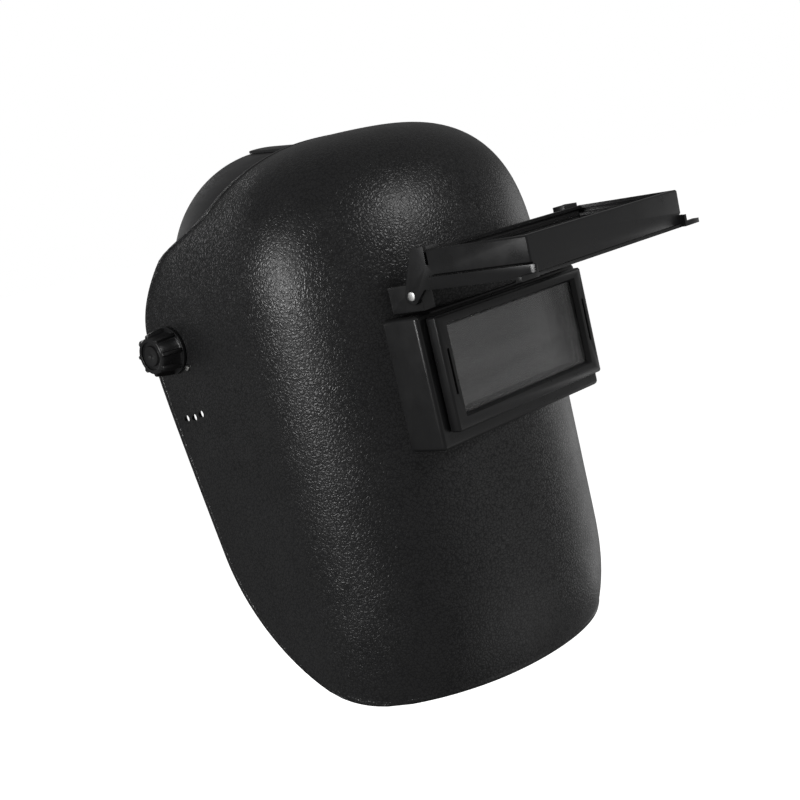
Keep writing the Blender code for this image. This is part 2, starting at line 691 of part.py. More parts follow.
def make_flip_frame(shop, piece):
    half = FLIP_HALF_WIDTH
    frame = piece("flip_inner_frame", flip_box("flip_inner_frame", -half, half, FLIP_TOP_DROP,
                                               FLIP_END_DROP, FLIP_BACK, FLIP_SEAM), "satin")
    inner = half - FLIP_WALL
    shop.cut(frame, flip_box("frame_hollow", -inner, inner, 0.0, FLIP_END_DROP - FLIP_WALL,
                             0.0, PAST))
    shop.cut(frame, flip_box("end_relief", -inner, inner, FLIP_END_DROP - FLIP_WALL - GAP,
                             FLIP_END_DROP + PAST, FLIP_BACK + END_STRIP, PAST))
    for side in SIDES:
        xs = sorted((side * (half - TAB_RIB), side * (half + TAB_REACH)))
        shop.join(frame, flip_box("finger_tab", xs[0], xs[1], FLIP_END_DROP - TAB_INNER,
                                  FLIP_END_DROP + TAB_OUTER, FLIP_BACK, FLIP_BACK + TAB_THICKNESS))
        xs = sorted((side * (half - TAB_RIB), side * (half - 0.0001)))
        shop.join(frame, flip_box("tab_rib", xs[0], xs[1], FLIP_END_DROP - OVERLAP,
                                  FLIP_END_DROP + TAB_OUTER - 0.0001, FLIP_BACK + OVERLAP,
                                  FLIP_SEAM - 0.0001))


def make_filter_stack(shop, piece):
    """From the wearer's side out: spring clip, dark filter, clear cover plate and gasket."""
    clip_back = FRAME_FRONT + 0.0004
    shade_back = clip_back + CLIP_THICKNESS + GAP
    plate_back = shade_back + SHADE_GLASS + GAP
    gasket_back = plate_back + COVER_PLATE + GAP
    clip = piece("filter_clip", flip_window("filter_clip", CLIP_HALF_WIDTH, CLIP_HALF_HEIGHT,
                                            clip_back, clip_back + CLIP_THICKNESS), "steel")
    shop.cut(clip, flip_window("clip_hole", CLIP_HOLE_HALF_WIDTH, CLIP_HOLE_HALF_HEIGHT, 0.0, PAST))
    piece("shade_filter", flip_window("shade_filter", LENS_HALF_WIDTH, LENS_HALF_HEIGHT,
                                      shade_back, shade_back + SHADE_GLASS), "shade")
    piece("cover_plate", flip_window("cover_plate", LENS_HALF_WIDTH, LENS_HALF_HEIGHT,
                                     plate_back, plate_back + COVER_PLATE), "clear")
    gasket = piece("filter_gasket", flip_window("filter_gasket", LENS_HALF_WIDTH, LENS_HALF_HEIGHT,
                                                gasket_back, FLIP_LEDGE_BACK - GAP), "rubber")
    shop.cut(gasket, flip_window("filter_gasket_hole", VIEW_HALF_WIDTH, VIEW_HALF_HEIGHT, 0.0, PAST))


def make_flip(shop):
    axis = bpy.data.objects.new("flip_axis", None)
    shop.parts.objects.link(axis)
    axis.location = (0.0, HINGE_Y, HINGE_Z)
    axis.rotation_euler = (-OPEN_ANGLE, 0.0, 0.0)

    def piece(name, mesh, material):
        obj = shop.piece(name, mesh, material)
        obj.parent = axis
        return obj

    make_flip_cover(shop, piece)
    make_flip_frame(shop, piece)
    make_filter_stack(shop, piece)


# ---------------------------------------------------------------- headgear strips
def strip_mesh(name, stations):
    """An upright strip: each station is (x, y, low z, high z)."""
    shape = bmesh.new()
    rows = [(shape.verts.new((x, y, low)), shape.verts.new((x, y, high)))
            for x, y, low, high in stations]
    for (a, b), (c, d) in zip(rows, rows[1:]):
        shape.faces.new((a, c, d, b))
    mesh = bpy.data.meshes.new(name)
    shape.to_mesh(mesh)
    shape.free()
    return mesh


def thicken(obj, thickness):
    modifier = obj.modifiers.new("thickness", "SOLIDIFY")
    modifier.thickness = thickness
    modifier.offset = 0.0
    modifier.use_even_offset = True
    return modifier


def band_route(half_width, front_y, arc_y, end_y, steps=22):
    """Half a headband: from the right arm's end round the brow to the left arm's end."""
    points = [(-half_width, end_y + (arc_y - end_y) * i / 4) for i in range(4)]
    for i in range(steps + 1):
        angle = math.pi * i / steps
        points.append((-half_width * math.cos(angle), arc_y + (front_y - arc_y) * math.sin(angle)))
    points += [(half_width, arc_y + (end_y - arc_y) * (i + 1) / 4) for i in range(4)]
    return points


def make_headband(shop):
    half = BAND_HEIGHT / 2
    route = band_route(BAND_HALF_WIDTH, BAND_FRONT_Y, BAND_ARC_Y, BAND_ARM_END_Y)
    band = shop.piece("headband_front", strip_mesh("headband_front", [
        (x, y, BAND_Z - half, BAND_Z + half) for x, y in route]), "strap")
    thicken(band, BAND_THICKNESS)

    inset = BAND_THICKNESS / 2 + GAP * 2 + PAD_THICKNESS / 2
    pad_width = BAND_HALF_WIDTH - inset
    pad_front = BAND_FRONT_Y + inset
    stations = []
    steps = 18
    spread = math.radians(60)
    for i in range(steps + 1):
        angle = math.pi / 2 - spread + 2 * spread * i / steps
        stations.append((-pad_width * math.cos(angle),
                         BAND_ARC_Y + (pad_front - BAND_ARC_Y) * math.sin(angle),
                         BAND_Z - PAD_HEIGHT / 2, BAND_Z + PAD_HEIGHT / 2))
    pad = shop.piece("sweatband", strip_mesh("sweatband", stations), "pad")
    thicken(pad, PAD_THICKNESS)
    add_bevel(pad, 0.0014, 1)
    return band


def rear_route(steps=20):
    """The right half of the rear strap, from its front end to beyond the nape."""
    points = [(-REAR_HALF_WIDTH, REAR_START_Y + (REAR_ARC_Y - REAR_START_Y) * i / 4, 0.0)
              for i in range(4)]
    overshoot = math.acos((TAIL_REACH / REAR_HALF_WIDTH) ** (REAR_POWER / 2))
    for i in range(steps + 1):
        angle = (math.pi - overshoot) * i / steps
        across, behind = math.cos(angle), math.sin(angle)
        x = -REAR_HALF_WIDTH * math.copysign(abs(across) ** (2 / REAR_POWER), across)
        y = REAR_ARC_Y + (REAR_BACK_Y - REAR_ARC_Y) * behind ** (2 / REAR_POWER)
        points.append((x, y, min(angle / (math.pi / 2), 1.0)))
    return points


def make_rear_bands(shop):
    for side in SIDES:
        stations = []
        for x, y, turn in rear_route():
            ease = turn * turn * (3 - 2 * turn)
            middle = BAND_Z - REAR_DROP * ease
            squeeze = min(max((0.062 + x * 1.0) / 0.022, 0.0), 1.0)
            half = REAR_HEIGHT / 2 + (TAIL_HEIGHT / 2 - REAR_HEIGHT / 2) * squeeze
            shift = -side * TAIL_OFFSET * squeeze
            stations.append((-side * x if side > 0 else x, y, middle + shift - half,
                             middle + shift + half))
        name = f"rear_band_{side_name(side)}"
        band = shop.piece(name, strip_mesh(name, stations), "strap")
        thicken(band, REAR_THICKNESS)


def strap_route(top_z, half_span, foot_x, steps=24):
    """The arch over the head as (x, z) points, from the right foot to the left foot."""
    right = [(-foot_x, STRAP_FOOT_Z), (-foot_x, 0.010),
             (-(foot_x * 0.4 + half_span * 0.6), STRAP_SPRING_Z * 0.70)]
    arch = []
    for i in range(steps + 1):
        angle = math.pi * i / steps
        arch.append((-half_span * math.cos(angle),
                     STRAP_SPRING_Z + (top_z - STRAP_SPRING_Z) * math.sin(angle)))
    left = [(-x, z) for x, z in reversed(right)]
    return right + arch + left


def strap_mesh(name, route):
    """A strap lying across the head; its front edge dips a little below its rear edge."""
    shape = bmesh.new()
    rows = []
    for x, z in route:
        lift = min(max((z - STRAP_SPRING_Z) / (STRAP_TOP_Z - STRAP_SPRING_Z), 0.0), 1.0)
        narrow = min(max((0.045 - z) / 0.020, 0.0), 1.0)
        back = STRAP_BACK_Y + (STRAP_FOOT_BACK_Y - STRAP_BACK_Y) * narrow
        front = STRAP_FRONT_Y - 0.003 * narrow
        rows.append([shape.verts.new((x, front + (back - front) * i / 2,
                                      z - STRAP_FRONT_DIP * lift * (1 - i / 2)))
                     for i in range(3)])
    for first, second in zip(rows, rows[1:]):
        for i in range(2):
            shape.faces.new((first[i], first[i + 1], second[i + 1], second[i]))
    mesh = bpy.data.meshes.new(name)
    shape.to_mesh(mesh)
    shape.free()
    return mesh


def make_crown_straps(shop):
    foot_x = PLATE_INNER_X + STRAP_THICKNESS / 2
    upper = strap_route(STRAP_TOP_Z - STRAP_THICKNESS / 2, STRAP_HALF_SPAN, foot_x)
    drop = STRAP_THICKNESS + GAP
    lower = strap_route(STRAP_TOP_Z - STRAP_THICKNESS / 2 - drop, STRAP_HALF_SPAN - drop, foot_x)
    left = [(x, z) for x, z in upper if x > -0.012]
    right = [(x, z) for x, z in lower if x < 0.034]
    for name, route in (("crown_strap_left", left), ("crown_strap_right", right)):
        strap = shop.piece(name, strap_mesh(name, route), "strap")
        thicken(strap, STRAP_THICKNESS)
        side = 1 if name.endswith("left") else -1
        stud_y = (STRAP_FRONT_Y - 0.003 + STRAP_FOOT_BACK_Y) / 2
        shop.cut(strap, side_rod("stud_hole", side, 0.070, 0.090, 0.0031, stud_y, 0.0045, 16))
        stud = shop.piece(f"strap_stud_{side_name(side)}",
                          side_rod("strap_stud", side, BAND_HALF_WIDTH + BAND_THICKNESS / 2 + GAP,
                                   PLATE_INNER_X + STRAP_THICKNESS + GAP, 0.0027,
                                   stud_y, 0.0045, 16), "strap")
        head = side_rod("stud_head", side, PLATE_INNER_X + STRAP_THICKNESS + GAP - 0.0001,
                        PLATE_INNER_X + STRAP_THICKNESS + 0.0018, 0.0045, stud_y, 0.0045, 16)
        shop.join(stud, head)


# ---------------------------------------------------------------- side pivots
def make_knob(shop, side):
    inner = SHELL_HALF_WIDTH + GAP
    flange_top = inner + KNOB_FLANGE_DEPTH
    name = f"pivot_knob_{side_name(side)}"
    shape = bmesh.new()
    body_low = flange_top - 0.0002
    face = inner + KNOB_DEPTH
    turn = Matrix.Rotation(side * math.pi / 2, 4, "Y")
    place = Matrix.Translation((side * (body_low + face) / 2, PIVOT_Y, PIVOT_Z))
    bmesh.ops.create_cone(shape, cap_ends=True, segments=KNOB_RIBS * 6, radius1=KNOB_BASE_RADIUS,
                          radius2=KNOB_FACE_RADIUS, depth=face - body_low, matrix=place @ turn)
    for vert in shape.verts:
        y, z = vert.co.y - PIVOT_Y, vert.co.z - PIVOT_Z
        angle = math.atan2(z, y)
        scale = 1 + KNOB_RIB * math.cos(KNOB_RIBS * angle) / math.hypot(y, z)
        vert.co.y, vert.co.z = PIVOT_Y + y * scale, PIVOT_Z + z * scale
    knob = shop.piece(name, mesh_from_bmesh(name, shape), "satin")
    shop.join(knob, side_rod("knob_flange", side, inner, flange_top, KNOB_FLANGE_RADIUS,
                             PIVOT_Y, PIVOT_Z, 36))
    shop.cut(knob, side_rod("knob_bore", side, inner - 0.002, face - 0.0030, BOLT_HOLE_RADIUS,
                            PIVOT_Y, PIVOT_Z, 24))
    shop.cut(knob, ring_mesh("knob_recess", side, face - 0.0012, face + 0.001, 0.0052, 0.0074))
    return knob


def ring_mesh(name, side, x_low, x_high, inner, outer, segments=32):
    """A flat ring round the pivot line, made as a turned profile."""
    mesh = bpy.data.meshes.new(name)
    profile = [(outer, 0.0, x_high), (outer, 0.0, x_low), (inner, 0.0, x_low), (inner, 0.0, x_high)]
    mesh.from_pydata(profile, [(0, 1), (1, 2), (2, 3), (3, 0)], [])
    guide = bpy.data.objects.new(name, mesh)
    bpy.context.scene.collection.objects.link(guide)
    screw = guide.modifiers.new("turn", "SCREW")
    screw.steps = segments
    screw.render_steps = segments
    screw.use_merge_vertices = True
    screw.merge_threshold = 0.00001
    bpy.context.view_layer.update()
    depsgraph = bpy.context.evaluated_depsgraph_get()
    turned = bpy.data.meshes.new_from_object(guide.evaluated_get(depsgraph))
    bpy.data.objects.remove(guide, do_unlink=True)
    turn = Matrix.Rotation(side * math.pi / 2, 4, "Y")
    turned.transform(Matrix.Translation((0.0, PIVOT_Y, PIVOT_Z)) @ turn)
    shape = bmesh.new()
    shape.from_mesh(turned)
    bmesh.ops.remove_doubles(shape, verts=shape.verts, dist=0.00001)
    bpy.data.meshes.remove(turned)
    return mesh_from_bmesh(name, shape)


def make_side_pivot(shop, side):
    word = side_name(side)
    xs = sorted((side * PLATE_INNER_X, side * PLATE_OUTER_X))
    plate_outline = rounded_outline(PIVOT_Y - 0.0150, PIVOT_Y + 0.0150, -0.0130, 0.0170, 0.0060)
    plate = shop.piece(f"side_plate_{word}",
                       plate_mesh("side_plate", plate_outline, xs[0], xs[1]), "satin")
    shop.join(plate, side_rod("boss", side, PLATE_INNER_X + 0.001, BOSS_OUTER_X, BOSS_RADIUS,
                              PIVOT_Y, PIVOT_Z))
    shop.cut(plate, side_rod("boss_hole", side, 0.070, 0.100, BOLT_HOLE_RADIUS,
                             PIVOT_Y, PIVOT_Z, 24))
    head_low = PLATE_INNER_X + GAP
    head_high = head_low + 0.0034
    square = 0.0064
    pocket = square + GAP
    xs = sorted((side * 0.070, side * (head_high + GAP)))
    shop.cut(plate, box_mesh("head_pocket", (xs[0], PIVOT_Y - pocket, PIVOT_Z - pocket),
                             (xs[1], PIVOT_Y + pocket, PIVOT_Z + pocket)))
    xs = sorted((side * head_low, side * head_high))
    bolt = shop.piece(f"pivot_bolt_{word}",
                      box_mesh("pivot_bolt", (xs[0], PIVOT_Y - square, PIVOT_Z - square),
                               (xs[1], PIVOT_Y + square, PIVOT_Z + square)), "steel")
    shop.join(bolt, side_rod("bolt_shank", side, head_high - 0.001,
                             SHELL_HALF_WIDTH + KNOB_DEPTH - 0.0034, BOLT_RADIUS,
                             PIVOT_Y, PIVOT_Z, 24))
    shop.piece(f"friction_washer_{word}",
               ring_mesh("friction_washer", side, BOSS_OUTER_X + GAP, WASHER_OUTER_X,
                         BOLT_HOLE_RADIUS + 0.0002, PIVOT_WASHER_RADIUS, 28), "rubber")
    xs = sorted((side * STOP_PLATE_X, side * (STOP_PLATE_X + STOP_PLATE_THICKNESS)))
    stop = shop.piece(f"stop_plate_{word}", plate_mesh(
        "stop_plate", arc_points((PIVOT_Y, PIVOT_Z), 0.0172, 0.0, math.tau * 35 / 36, 35),
        xs[0], xs[1]), "satin")
    shop.cut(stop, side_rod("stop_bore", side, 0.085, 0.100, BOLT_HOLE_RADIUS,
                            PIVOT_Y, PIVOT_Z, 24))
    y, z = stop_hole_place(STOP_PIN_ANGLE, STOP_PIN_OFFSET)
    shop.cut(stop, side_rod("stop_pin_bore", side, 0.085, 0.100, STOP_PIN_RADIUS + GAP, y, z, 14))
    shop.piece(f"stop_pin_{word}", side_rod("stop_pin", side, STOP_PLATE_X, SHELL_HALF_WIDTH + 0.0011,
                                            STOP_PIN_RADIUS, y, z, 14), "steel")
    make_knob(shop, side)


# ---------------------------------------------------------------- nape ratchet
def gear_outline(radius, teeth, depth):
    points = []
    for i in range(teeth * 4):
        reach = radius if i % 4 in (1, 2) else radius - depth
        angle = math.tau * i / (teeth * 4)
        points.append((reach * math.cos(angle), reach * math.sin(angle)))
    return points


def nape_rod(name, radius, y_low, y_high, segments=36):
    """A round bar along Y on the ratchet's axis."""
    mesh = rod_mesh(name, y_low, y_high, radius, 0.0, 0.0, segments=segments)
    mesh.transform(Matrix.Translation((0.0, 0.0, RATCHET_Z)) @ Matrix.Rotation(math.pi / 2, 4, "Z"))
    return mesh


def make_ratchet(shop):
    half_w, half_h = RATCHET_HALF_WIDTH, RATCHET_HALF_HEIGHT
    base = shop.piece("ratchet_base", box_mesh(
        "ratchet_base", (-half_w, RATCHET_FRONT_Y - 0.0022, RATCHET_Z - half_h),
        (half_w, RATCHET_BACK_Y, RATCHET_Z + half_h)), "satin")
    add_bevel(base, 0.0016, 1)
    inner_h = half_h - RATCHET_WALL
    shop.cut(base, box_mesh("tail_channel", (-0.050, RATCHET_FRONT_Y, RATCHET_Z - inner_h),
                            (0.050, 0.120, RATCHET_Z + inner_h)))
    cover_low = RATCHET_BACK_Y + GAP
    cover_high = cover_low + RATCHET_COVER_DEPTH
    cover = shop.piece("ratchet_cover", box_mesh(
        "ratchet_cover", (-half_w, cover_low, RATCHET_Z - half_h),
        (half_w, cover_high, RATCHET_Z + half_h)), "satin")
    add_bevel(cover, 0.0008, 1)
    shop.cut(cover, nape_rod("shaft_hole", 0.0034, 0.080, 0.120, 24))

    pinion = plate_mesh("ratchet_pinion", gear_outline(PINION_RADIUS, PINION_TEETH, 0.0012),
                        0.0912, RATCHET_BACK_Y - GAP)
    pinion.transform(Matrix.Translation((0.0, 0.0, RATCHET_Z)) @ Matrix.Rotation(math.pi / 2, 4, "Z"))
    gear = shop.piece("ratchet_pinion", pinion, "satin")
    knob_low = cover_high + GAP
    knob_high = knob_low + RATCHET_KNOB_DEPTH
    shop.join(gear, nape_rod("pinion_shaft", 0.0030, 0.0990, knob_low + 0.0070, 24))

    shape = bmesh.new()
    place = Matrix.Translation((0.0, (knob_low + knob_high) / 2, RATCHET_Z))
    turn = Matrix.Rotation(-math.pi / 2, 4, "X")
    bmesh.ops.create_cone(shape, cap_ends=True, segments=72, radius1=RATCHET_KNOB_RADIUS,
                          radius2=RATCHET_KNOB_RADIUS - 0.0022, depth=knob_high - knob_low,
                          matrix=place @ turn)
    for vert in shape.verts:
        x, z = vert.co.x, vert.co.z - RATCHET_Z
        scale = 1 + 0.0007 * math.cos(12 * math.atan2(z, x)) / math.hypot(x, z)
        vert.co.x, vert.co.z = x * scale, RATCHET_Z + z * scale
    knob = shop.piece("ratchet_knob", mesh_from_bmesh("ratchet_knob", shape), "satin")
    shop.cut(knob, nape_rod("knob_socket", 0.0033, knob_low - 0.001, knob_low + 0.0073, 24))


# ---------------------------------------------------------------- build
def main():
    clear_scene()
    shop = Workshop()
    make_shell(shop)
    make_window(shop)
    make_flip(shop)
    make_headband(shop)
    make_rear_bands(shop)
    make_crown_straps(shop)
    for side in SIDES:
        make_side_pivot(shop, side)
    make_ratchet(shop)
    for obj in shop.parts.objects:
        if obj.type == "MESH":
            obj.data.shade_smooth()
            obj.data.set_sharp_from_angle(angle=math.radians(35))


main()
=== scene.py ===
# %% [markdown]
# # A welding helmet with a flip-up filter
# A welder's helmet is a thin moulded face shell that hangs on a headband by two side knobs.
# A window block on its front holds a clear lens, and a hinged holder carries the dark filter.
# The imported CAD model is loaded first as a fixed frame. Every visible piece is then made in the
# same metres and the same place, so nothing has to be fitted to it later.

# %% Load the fixed frame
import json
import math

import bmesh
import bpy
import numpy as np
from mathutils import Matrix, Vector

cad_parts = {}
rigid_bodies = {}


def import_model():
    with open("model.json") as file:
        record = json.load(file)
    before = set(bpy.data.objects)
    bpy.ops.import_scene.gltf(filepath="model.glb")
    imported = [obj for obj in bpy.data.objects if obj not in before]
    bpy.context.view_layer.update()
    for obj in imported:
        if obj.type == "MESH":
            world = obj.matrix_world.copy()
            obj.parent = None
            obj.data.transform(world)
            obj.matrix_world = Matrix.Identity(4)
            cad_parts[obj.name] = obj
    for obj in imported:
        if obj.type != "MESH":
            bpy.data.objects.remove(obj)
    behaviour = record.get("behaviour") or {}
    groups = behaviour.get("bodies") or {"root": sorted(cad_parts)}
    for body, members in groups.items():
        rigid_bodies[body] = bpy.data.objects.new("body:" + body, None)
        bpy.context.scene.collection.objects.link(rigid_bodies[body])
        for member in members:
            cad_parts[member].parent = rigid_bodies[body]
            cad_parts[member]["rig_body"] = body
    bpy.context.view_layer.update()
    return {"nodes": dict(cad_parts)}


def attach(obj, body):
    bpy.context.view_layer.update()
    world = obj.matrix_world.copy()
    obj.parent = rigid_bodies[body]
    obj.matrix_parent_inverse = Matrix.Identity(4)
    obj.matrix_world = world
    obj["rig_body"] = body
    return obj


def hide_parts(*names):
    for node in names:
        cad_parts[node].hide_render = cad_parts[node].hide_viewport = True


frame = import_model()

# %% [markdown]
# ## Sizes
# The sizes below are the ones that the CAD model was driven by. The front of the helmet faces -Y,
# the wearer's left hand is at +X, and the origin is the middle of the headband. The filter holder
# is drawn shut and then turned about its hinge, so its sizes read as "drop" below the hinge and
# "reach" in front of it.

# %% Driving sizes, in metres
GAP = 0.0003
PIVOT_Y, PIVOT_Z = 0.021, 0.0
HINGE_Y, HINGE_Z = -0.122, 0.005
SIDES = {"right": -1, "left": 1}

SHELL_HALF_WIDTH = 0.0953
SHELL_WALL = 0.0024
SHELL_FRONT_Y = -0.1208
SHELL_TOP_Z = 0.0887
SHELL_BOTTOM_Z = -0.1947
DOME_START_Z = -0.0030
DOME_POWER = 2.9
DOME_SETBACK = 0.0794
FACE_DEPTH = 0.0790
FACE_POWER = 2.06
CHIN_SETBACK = 0.0105
CHIN_START_Z = -0.140
CHIN_POWER = 2.5
RIM_Y, RIM_Z = 0.0378, 0.0077
RIM_SLOPE_UP, RIM_SLOPE_DOWN = 0.979, 0.194
RIM_BLEND = 0.0292
BROW_NOTCH, BROW_NOTCH_Z, BROW_NOTCH_RISE = 0.0190, 0.0450, 0.0190
JAW_RADIUS = 0.0808
HEM_SLOPE = 0.022
print("shell height:", round(SHELL_TOP_Z - SHELL_BOTTOM_Z, 4))


def share(value):
    """Holds a value between 0 and 1."""
    return min(max(value, 0.0), 1.0)


def ease(value):
    """A share from 0 to 1 that starts and ends gently."""
    return value * value * (3 - 2 * value)


# %% [markdown]
# ## Node helpers
# A material is a small tree of nodes. Writing each node as one call keeps the recipe readable:
# the settings of the node come first, and then its inputs, each a number or another node's output.
# The same goes for the shader at the end of each tree, which is fed its inputs in one call.

# %% Material helpers
def feed(tree, made, **inputs):
    """Sets or links a node's inputs. An input's name has its spaces written as underscores."""
    for key, value in inputs.items():
        socket = made.inputs[key.replace("_", " ")]
        if isinstance(value, bpy.types.NodeSocket):
            tree.links.new(value, socket)
        else:
            socket.default_value = value
    return made


def node(tree, kind, settings=(), **inputs):
    """Adds one node with its settings and its inputs."""
    made = tree.nodes.new(kind)
    for key, value in dict(settings).items():
        setattr(made, key, value)
    return feed(tree, made, **inputs)


def object_place(tree):
    return node(tree, "ShaderNodeTexCoord").outputs["Object"]


def plastic(name, colour, roughness, metallic=0.0):
    """A new material with its shader's own sockets set; returns the material, tree and shader."""
    material = bpy.data.materials.new(name)
    material.use_nodes = True
    tree = material.node_tree
    shader = feed(tree, tree.nodes["Principled BSDF"], Base_Color=(*colour, 1.0),
                  Roughness=roughness, Metallic=metallic)
    return material, tree, shader


def noise(tree, scale, detail, place):
    return node(tree, "ShaderNodeTexNoise", Scale=scale, Detail=detail, Vector=place).outputs["Fac"]


def spread(tree, value, low, high):
    """Stretches a 0.3 to 0.7 pattern over the range from low to high."""
    made = node(tree, "ShaderNodeMapRange", Value=value, From_Min=0.3, From_Max=0.7,
                To_Min=low, To_Max=high)
    return made.outputs["Result"]


def bump(tree, height, distance, strength=1.0, under=None):
    made = node(tree, "ShaderNodeBump", Height=height, Distance=distance, Strength=strength)
    if under:
        tree.links.new(under, made.inputs["Normal"])
    return made.outputs["Normal"]


def shade_mix(tree, factor, dark, light):
    made = node(tree, "ShaderNodeMix", {"data_type": "RGBA"})
    tree.links.new(factor, made.inputs["Factor"])
    made.inputs[6].default_value = (*dark, 1.0)
    made.inputs[7].default_value = (*light, 1.0)
    return made.outputs[2]


# %% [markdown]
# ## Grained black shell plastic
# Helmet shells are moulded in black polypropylene against an etched tool, which leaves a leather
# grain of soft cells about 2 mm across with fine valleys between them. A Voronoi texture's
# distance to the cell edge gives those valleys. Its coordinates are bent by a noise first, so that
# the cells turn into wrinkles instead of a honeycomb. A lower specular level in the creases is
# painted shade, standing in for the room that they hardly see. A much finer noise adds the skin of
# the plastic.

# %% Shell plastic
def make_shell_plastic():
    material, tree, shader = plastic("grained_shell_plastic", (0.012, 0.012, 0.0125), 0.36)
    place = object_place(tree)
    bend = node(tree, "ShaderNodeTexNoise", Vector=place, Scale=420.0, Detail=2.0)
    shift = node(tree, "ShaderNodeVectorMath", {"operation": "MULTIPLY_ADD"})
    tree.links.new(bend.outputs["Color"], shift.inputs[0])
    shift.inputs[1].default_value = (0.0032, 0.0032, 0.0032)
    tree.links.new(place, shift.inputs[2])
    cells = node(tree, "ShaderNodeTexVoronoi", {"feature": "DISTANCE_TO_EDGE"},
                 Vector=shift.outputs[0], Scale=560.0)
    valley = node(tree, "ShaderNodeMapRange", {"interpolation_type": "SMOOTHSTEP"},
                  Value=cells.outputs["Distance"], From_Max=0.42)
    # Painted shade: the creases get a lower specular level than the cells, as if they lay in
    # shadow.
    crease_painted_shade = node(tree, "ShaderNodeMapRange", {"interpolation_type": "SMOOTHSTEP"},
                  Value=cells.outputs["Distance"], From_Max=0.15, To_Min=0.24, To_Max=0.60)
    grain = bump(tree, valley.outputs["Result"], 0.00011, 0.8)
    skin = bump(tree, noise(tree, 2600.0, 2.0, place), 0.00002, 0.5, grain)
    cloud = noise(tree, 34.0, 4.0, place)
    feed(tree, shader, Normal=skin, Specular_IOR_Level=crease_painted_shade.outputs["Result"],
         Base_Color=shade_mix(tree, cloud, (0.0085, 0.0085, 0.009), (0.017, 0.017, 0.0175)),
         Roughness=spread(tree, noise(tree, 60.0, 4.0, place), 0.31, 0.39))
    return material


# %% [markdown]
# ## Smooth mouldings
# The window block, lens frame, filter holder and knobs come from polished tools, so they are satin
# and not grained. Real satin plastic is never perfectly even: a weak noise moves its roughness,
# and a very shallow bump gives the faint orange peel that breaks up a straight reflection.

# %% Satin, strap and rubber
def make_smooth(name, dark, light, rough_low, rough_high, peel_scale, peel_depth):
    material, tree, shader = plastic(name, light, rough_high)
    place = object_place(tree)
    peel = bump(tree, noise(tree, peel_scale, 3.0, place), peel_depth, 0.7)
    feed(tree, shader, Normal=peel,
         Base_Color=shade_mix(tree, noise(tree, 45.0, 4.0, place), dark, light),
         Roughness=spread(tree, noise(tree, 110.0, 5.0, place), rough_low, rough_high))
    return material


# %% [markdown]
# ## Steel and glass
# The pins and bolts are zinc-plated and turned, so their sheen runs round them in fine lines: a
# noise stretched along X gives that. The clear lenses are polycarbonate plates, with a haze of fine
# wiping marks. The filter is a glass so dark that it looks black-green and mirrors the room.

# %% Steel and the glasses
def make_steel(name, colour, roughness):
    material, tree, shader = plastic(name, colour, roughness, 1.0)
    stretch = node(tree, "ShaderNodeMapping", Vector=object_place(tree), Scale=(6.0, 1.0, 1.0))
    lines = noise(tree, 900.0, 2.0, stretch.outputs["Vector"])
    feed(tree, shader, Normal=bump(tree, lines, 0.00002, 0.5),
         Roughness=spread(tree, lines, roughness - 0.06, roughness + 0.08))
    return material


def make_clear_lens():
    material, tree, shader = plastic("clear_lens_plastic", (0.88, 0.88, 0.88), 0.05)
    wipe = node(tree, "ShaderNodeMapping", Vector=object_place(tree), Rotation=(0.0, 0.5, 0.0),
                Scale=(0.25, 1.0, 1.6))
    smear = noise(tree, 90.0, 6.0, wipe.outputs["Vector"])
    film = noise(tree, 38.0, 5.0, wipe.outputs["Vector"])
    feed(tree, shader, IOR=1.50, Roughness=spread(tree, smear, 0.03, 0.16),
         Transmission_Weight=spread(tree, film, 0.94, 1.0))
    return material


def make_shade_glass():
    material, tree, shader = plastic("shade_glass_ten", (0.006, 0.016, 0.010), 0.05)
    place = object_place(tree)
    feed(tree, shader, IOR=1.52, Roughness=spread(tree, noise(tree, 70.0, 5.0, place), 0.03, 0.10),
         Base_Color=shade_mix(tree, noise(tree, 25.0, 2.0, place), (0.004, 0.012, 0.008),
                              (0.008, 0.020, 0.012)))
    return material


# %% [markdown]
# ## Sweatband cloth
# The sweatband is brushed terry over a thin foam. Two wave patterns along the object's own
# directions would slide over a curved pad, so the weave follows the pad's UV map instead, which is
# written in metres round the brow and up the band.

# %% Sweatband cloth
def make_terry():
    material, tree, shader = plastic("terry_cloth", (0.035, 0.035, 0.038), 0.92)
    place = node(tree, "ShaderNodeUVMap", {"uv_map": "cloth"}).outputs["UV"]
    loops = node(tree, "ShaderNodeTexVoronoi", Vector=place, Scale=1150.0)
    fuzz = noise(tree, 2400.0, 4.0, place)
    pile = bump(tree, loops.outputs["Distance"], 0.00025, 0.8)
    feed(tree, shader, Sheen_Weight=0.55, Sheen_Roughness=0.45,
         Normal=bump(tree, fuzz, 0.00015, 0.7, pile),
         Base_Color=shade_mix(tree, loops.outputs["Distance"], (0.045, 0.045, 0.05),
                              (0.014, 0.014, 0.016)))
    return material


MATERIALS = {
    "shell": make_shell_plastic(),
    "satin": make_smooth("satin_black", (0.0085, 0.0085, 0.009), (0.014, 0.014, 0.0145),
                         0.26, 0.36, 1400.0, 0.00003),
    "strap": make_smooth("moulded_strap_plastic", (0.014, 0.014, 0.015), (0.022, 0.022, 0.023),
                         0.38, 0.50, 2200.0, 0.00004),
    "rubber": make_smooth("black_rubber", (0.010, 0.010, 0.010), (0.018, 0.018, 0.018),
                          0.70, 0.88, 1800.0, 0.00005),
    "steel": make_steel("zinc_steel", (0.62, 0.62, 0.60), 0.26),
    "pin": make_steel("bright_pin_steel", (0.88, 0.88, 0.87), 0.42),
    "clear": make_clear_lens(),
    "shade": make_shade_glass(),
    "pad": make_terry(),
}
print("materials:", ", ".join(m.name for m in MATERIALS.values()))

# %% [markdown]
# ## Turning a drawing into a finished mesh
# Each piece ends as one plain mesh at the origin: its modifiers are evaluated, the result is copied
# with new_from_object, and it is then told which body it rides on and which CAD nodes it replaces.

# %% Mesh helpers
TRIANGLES = {}


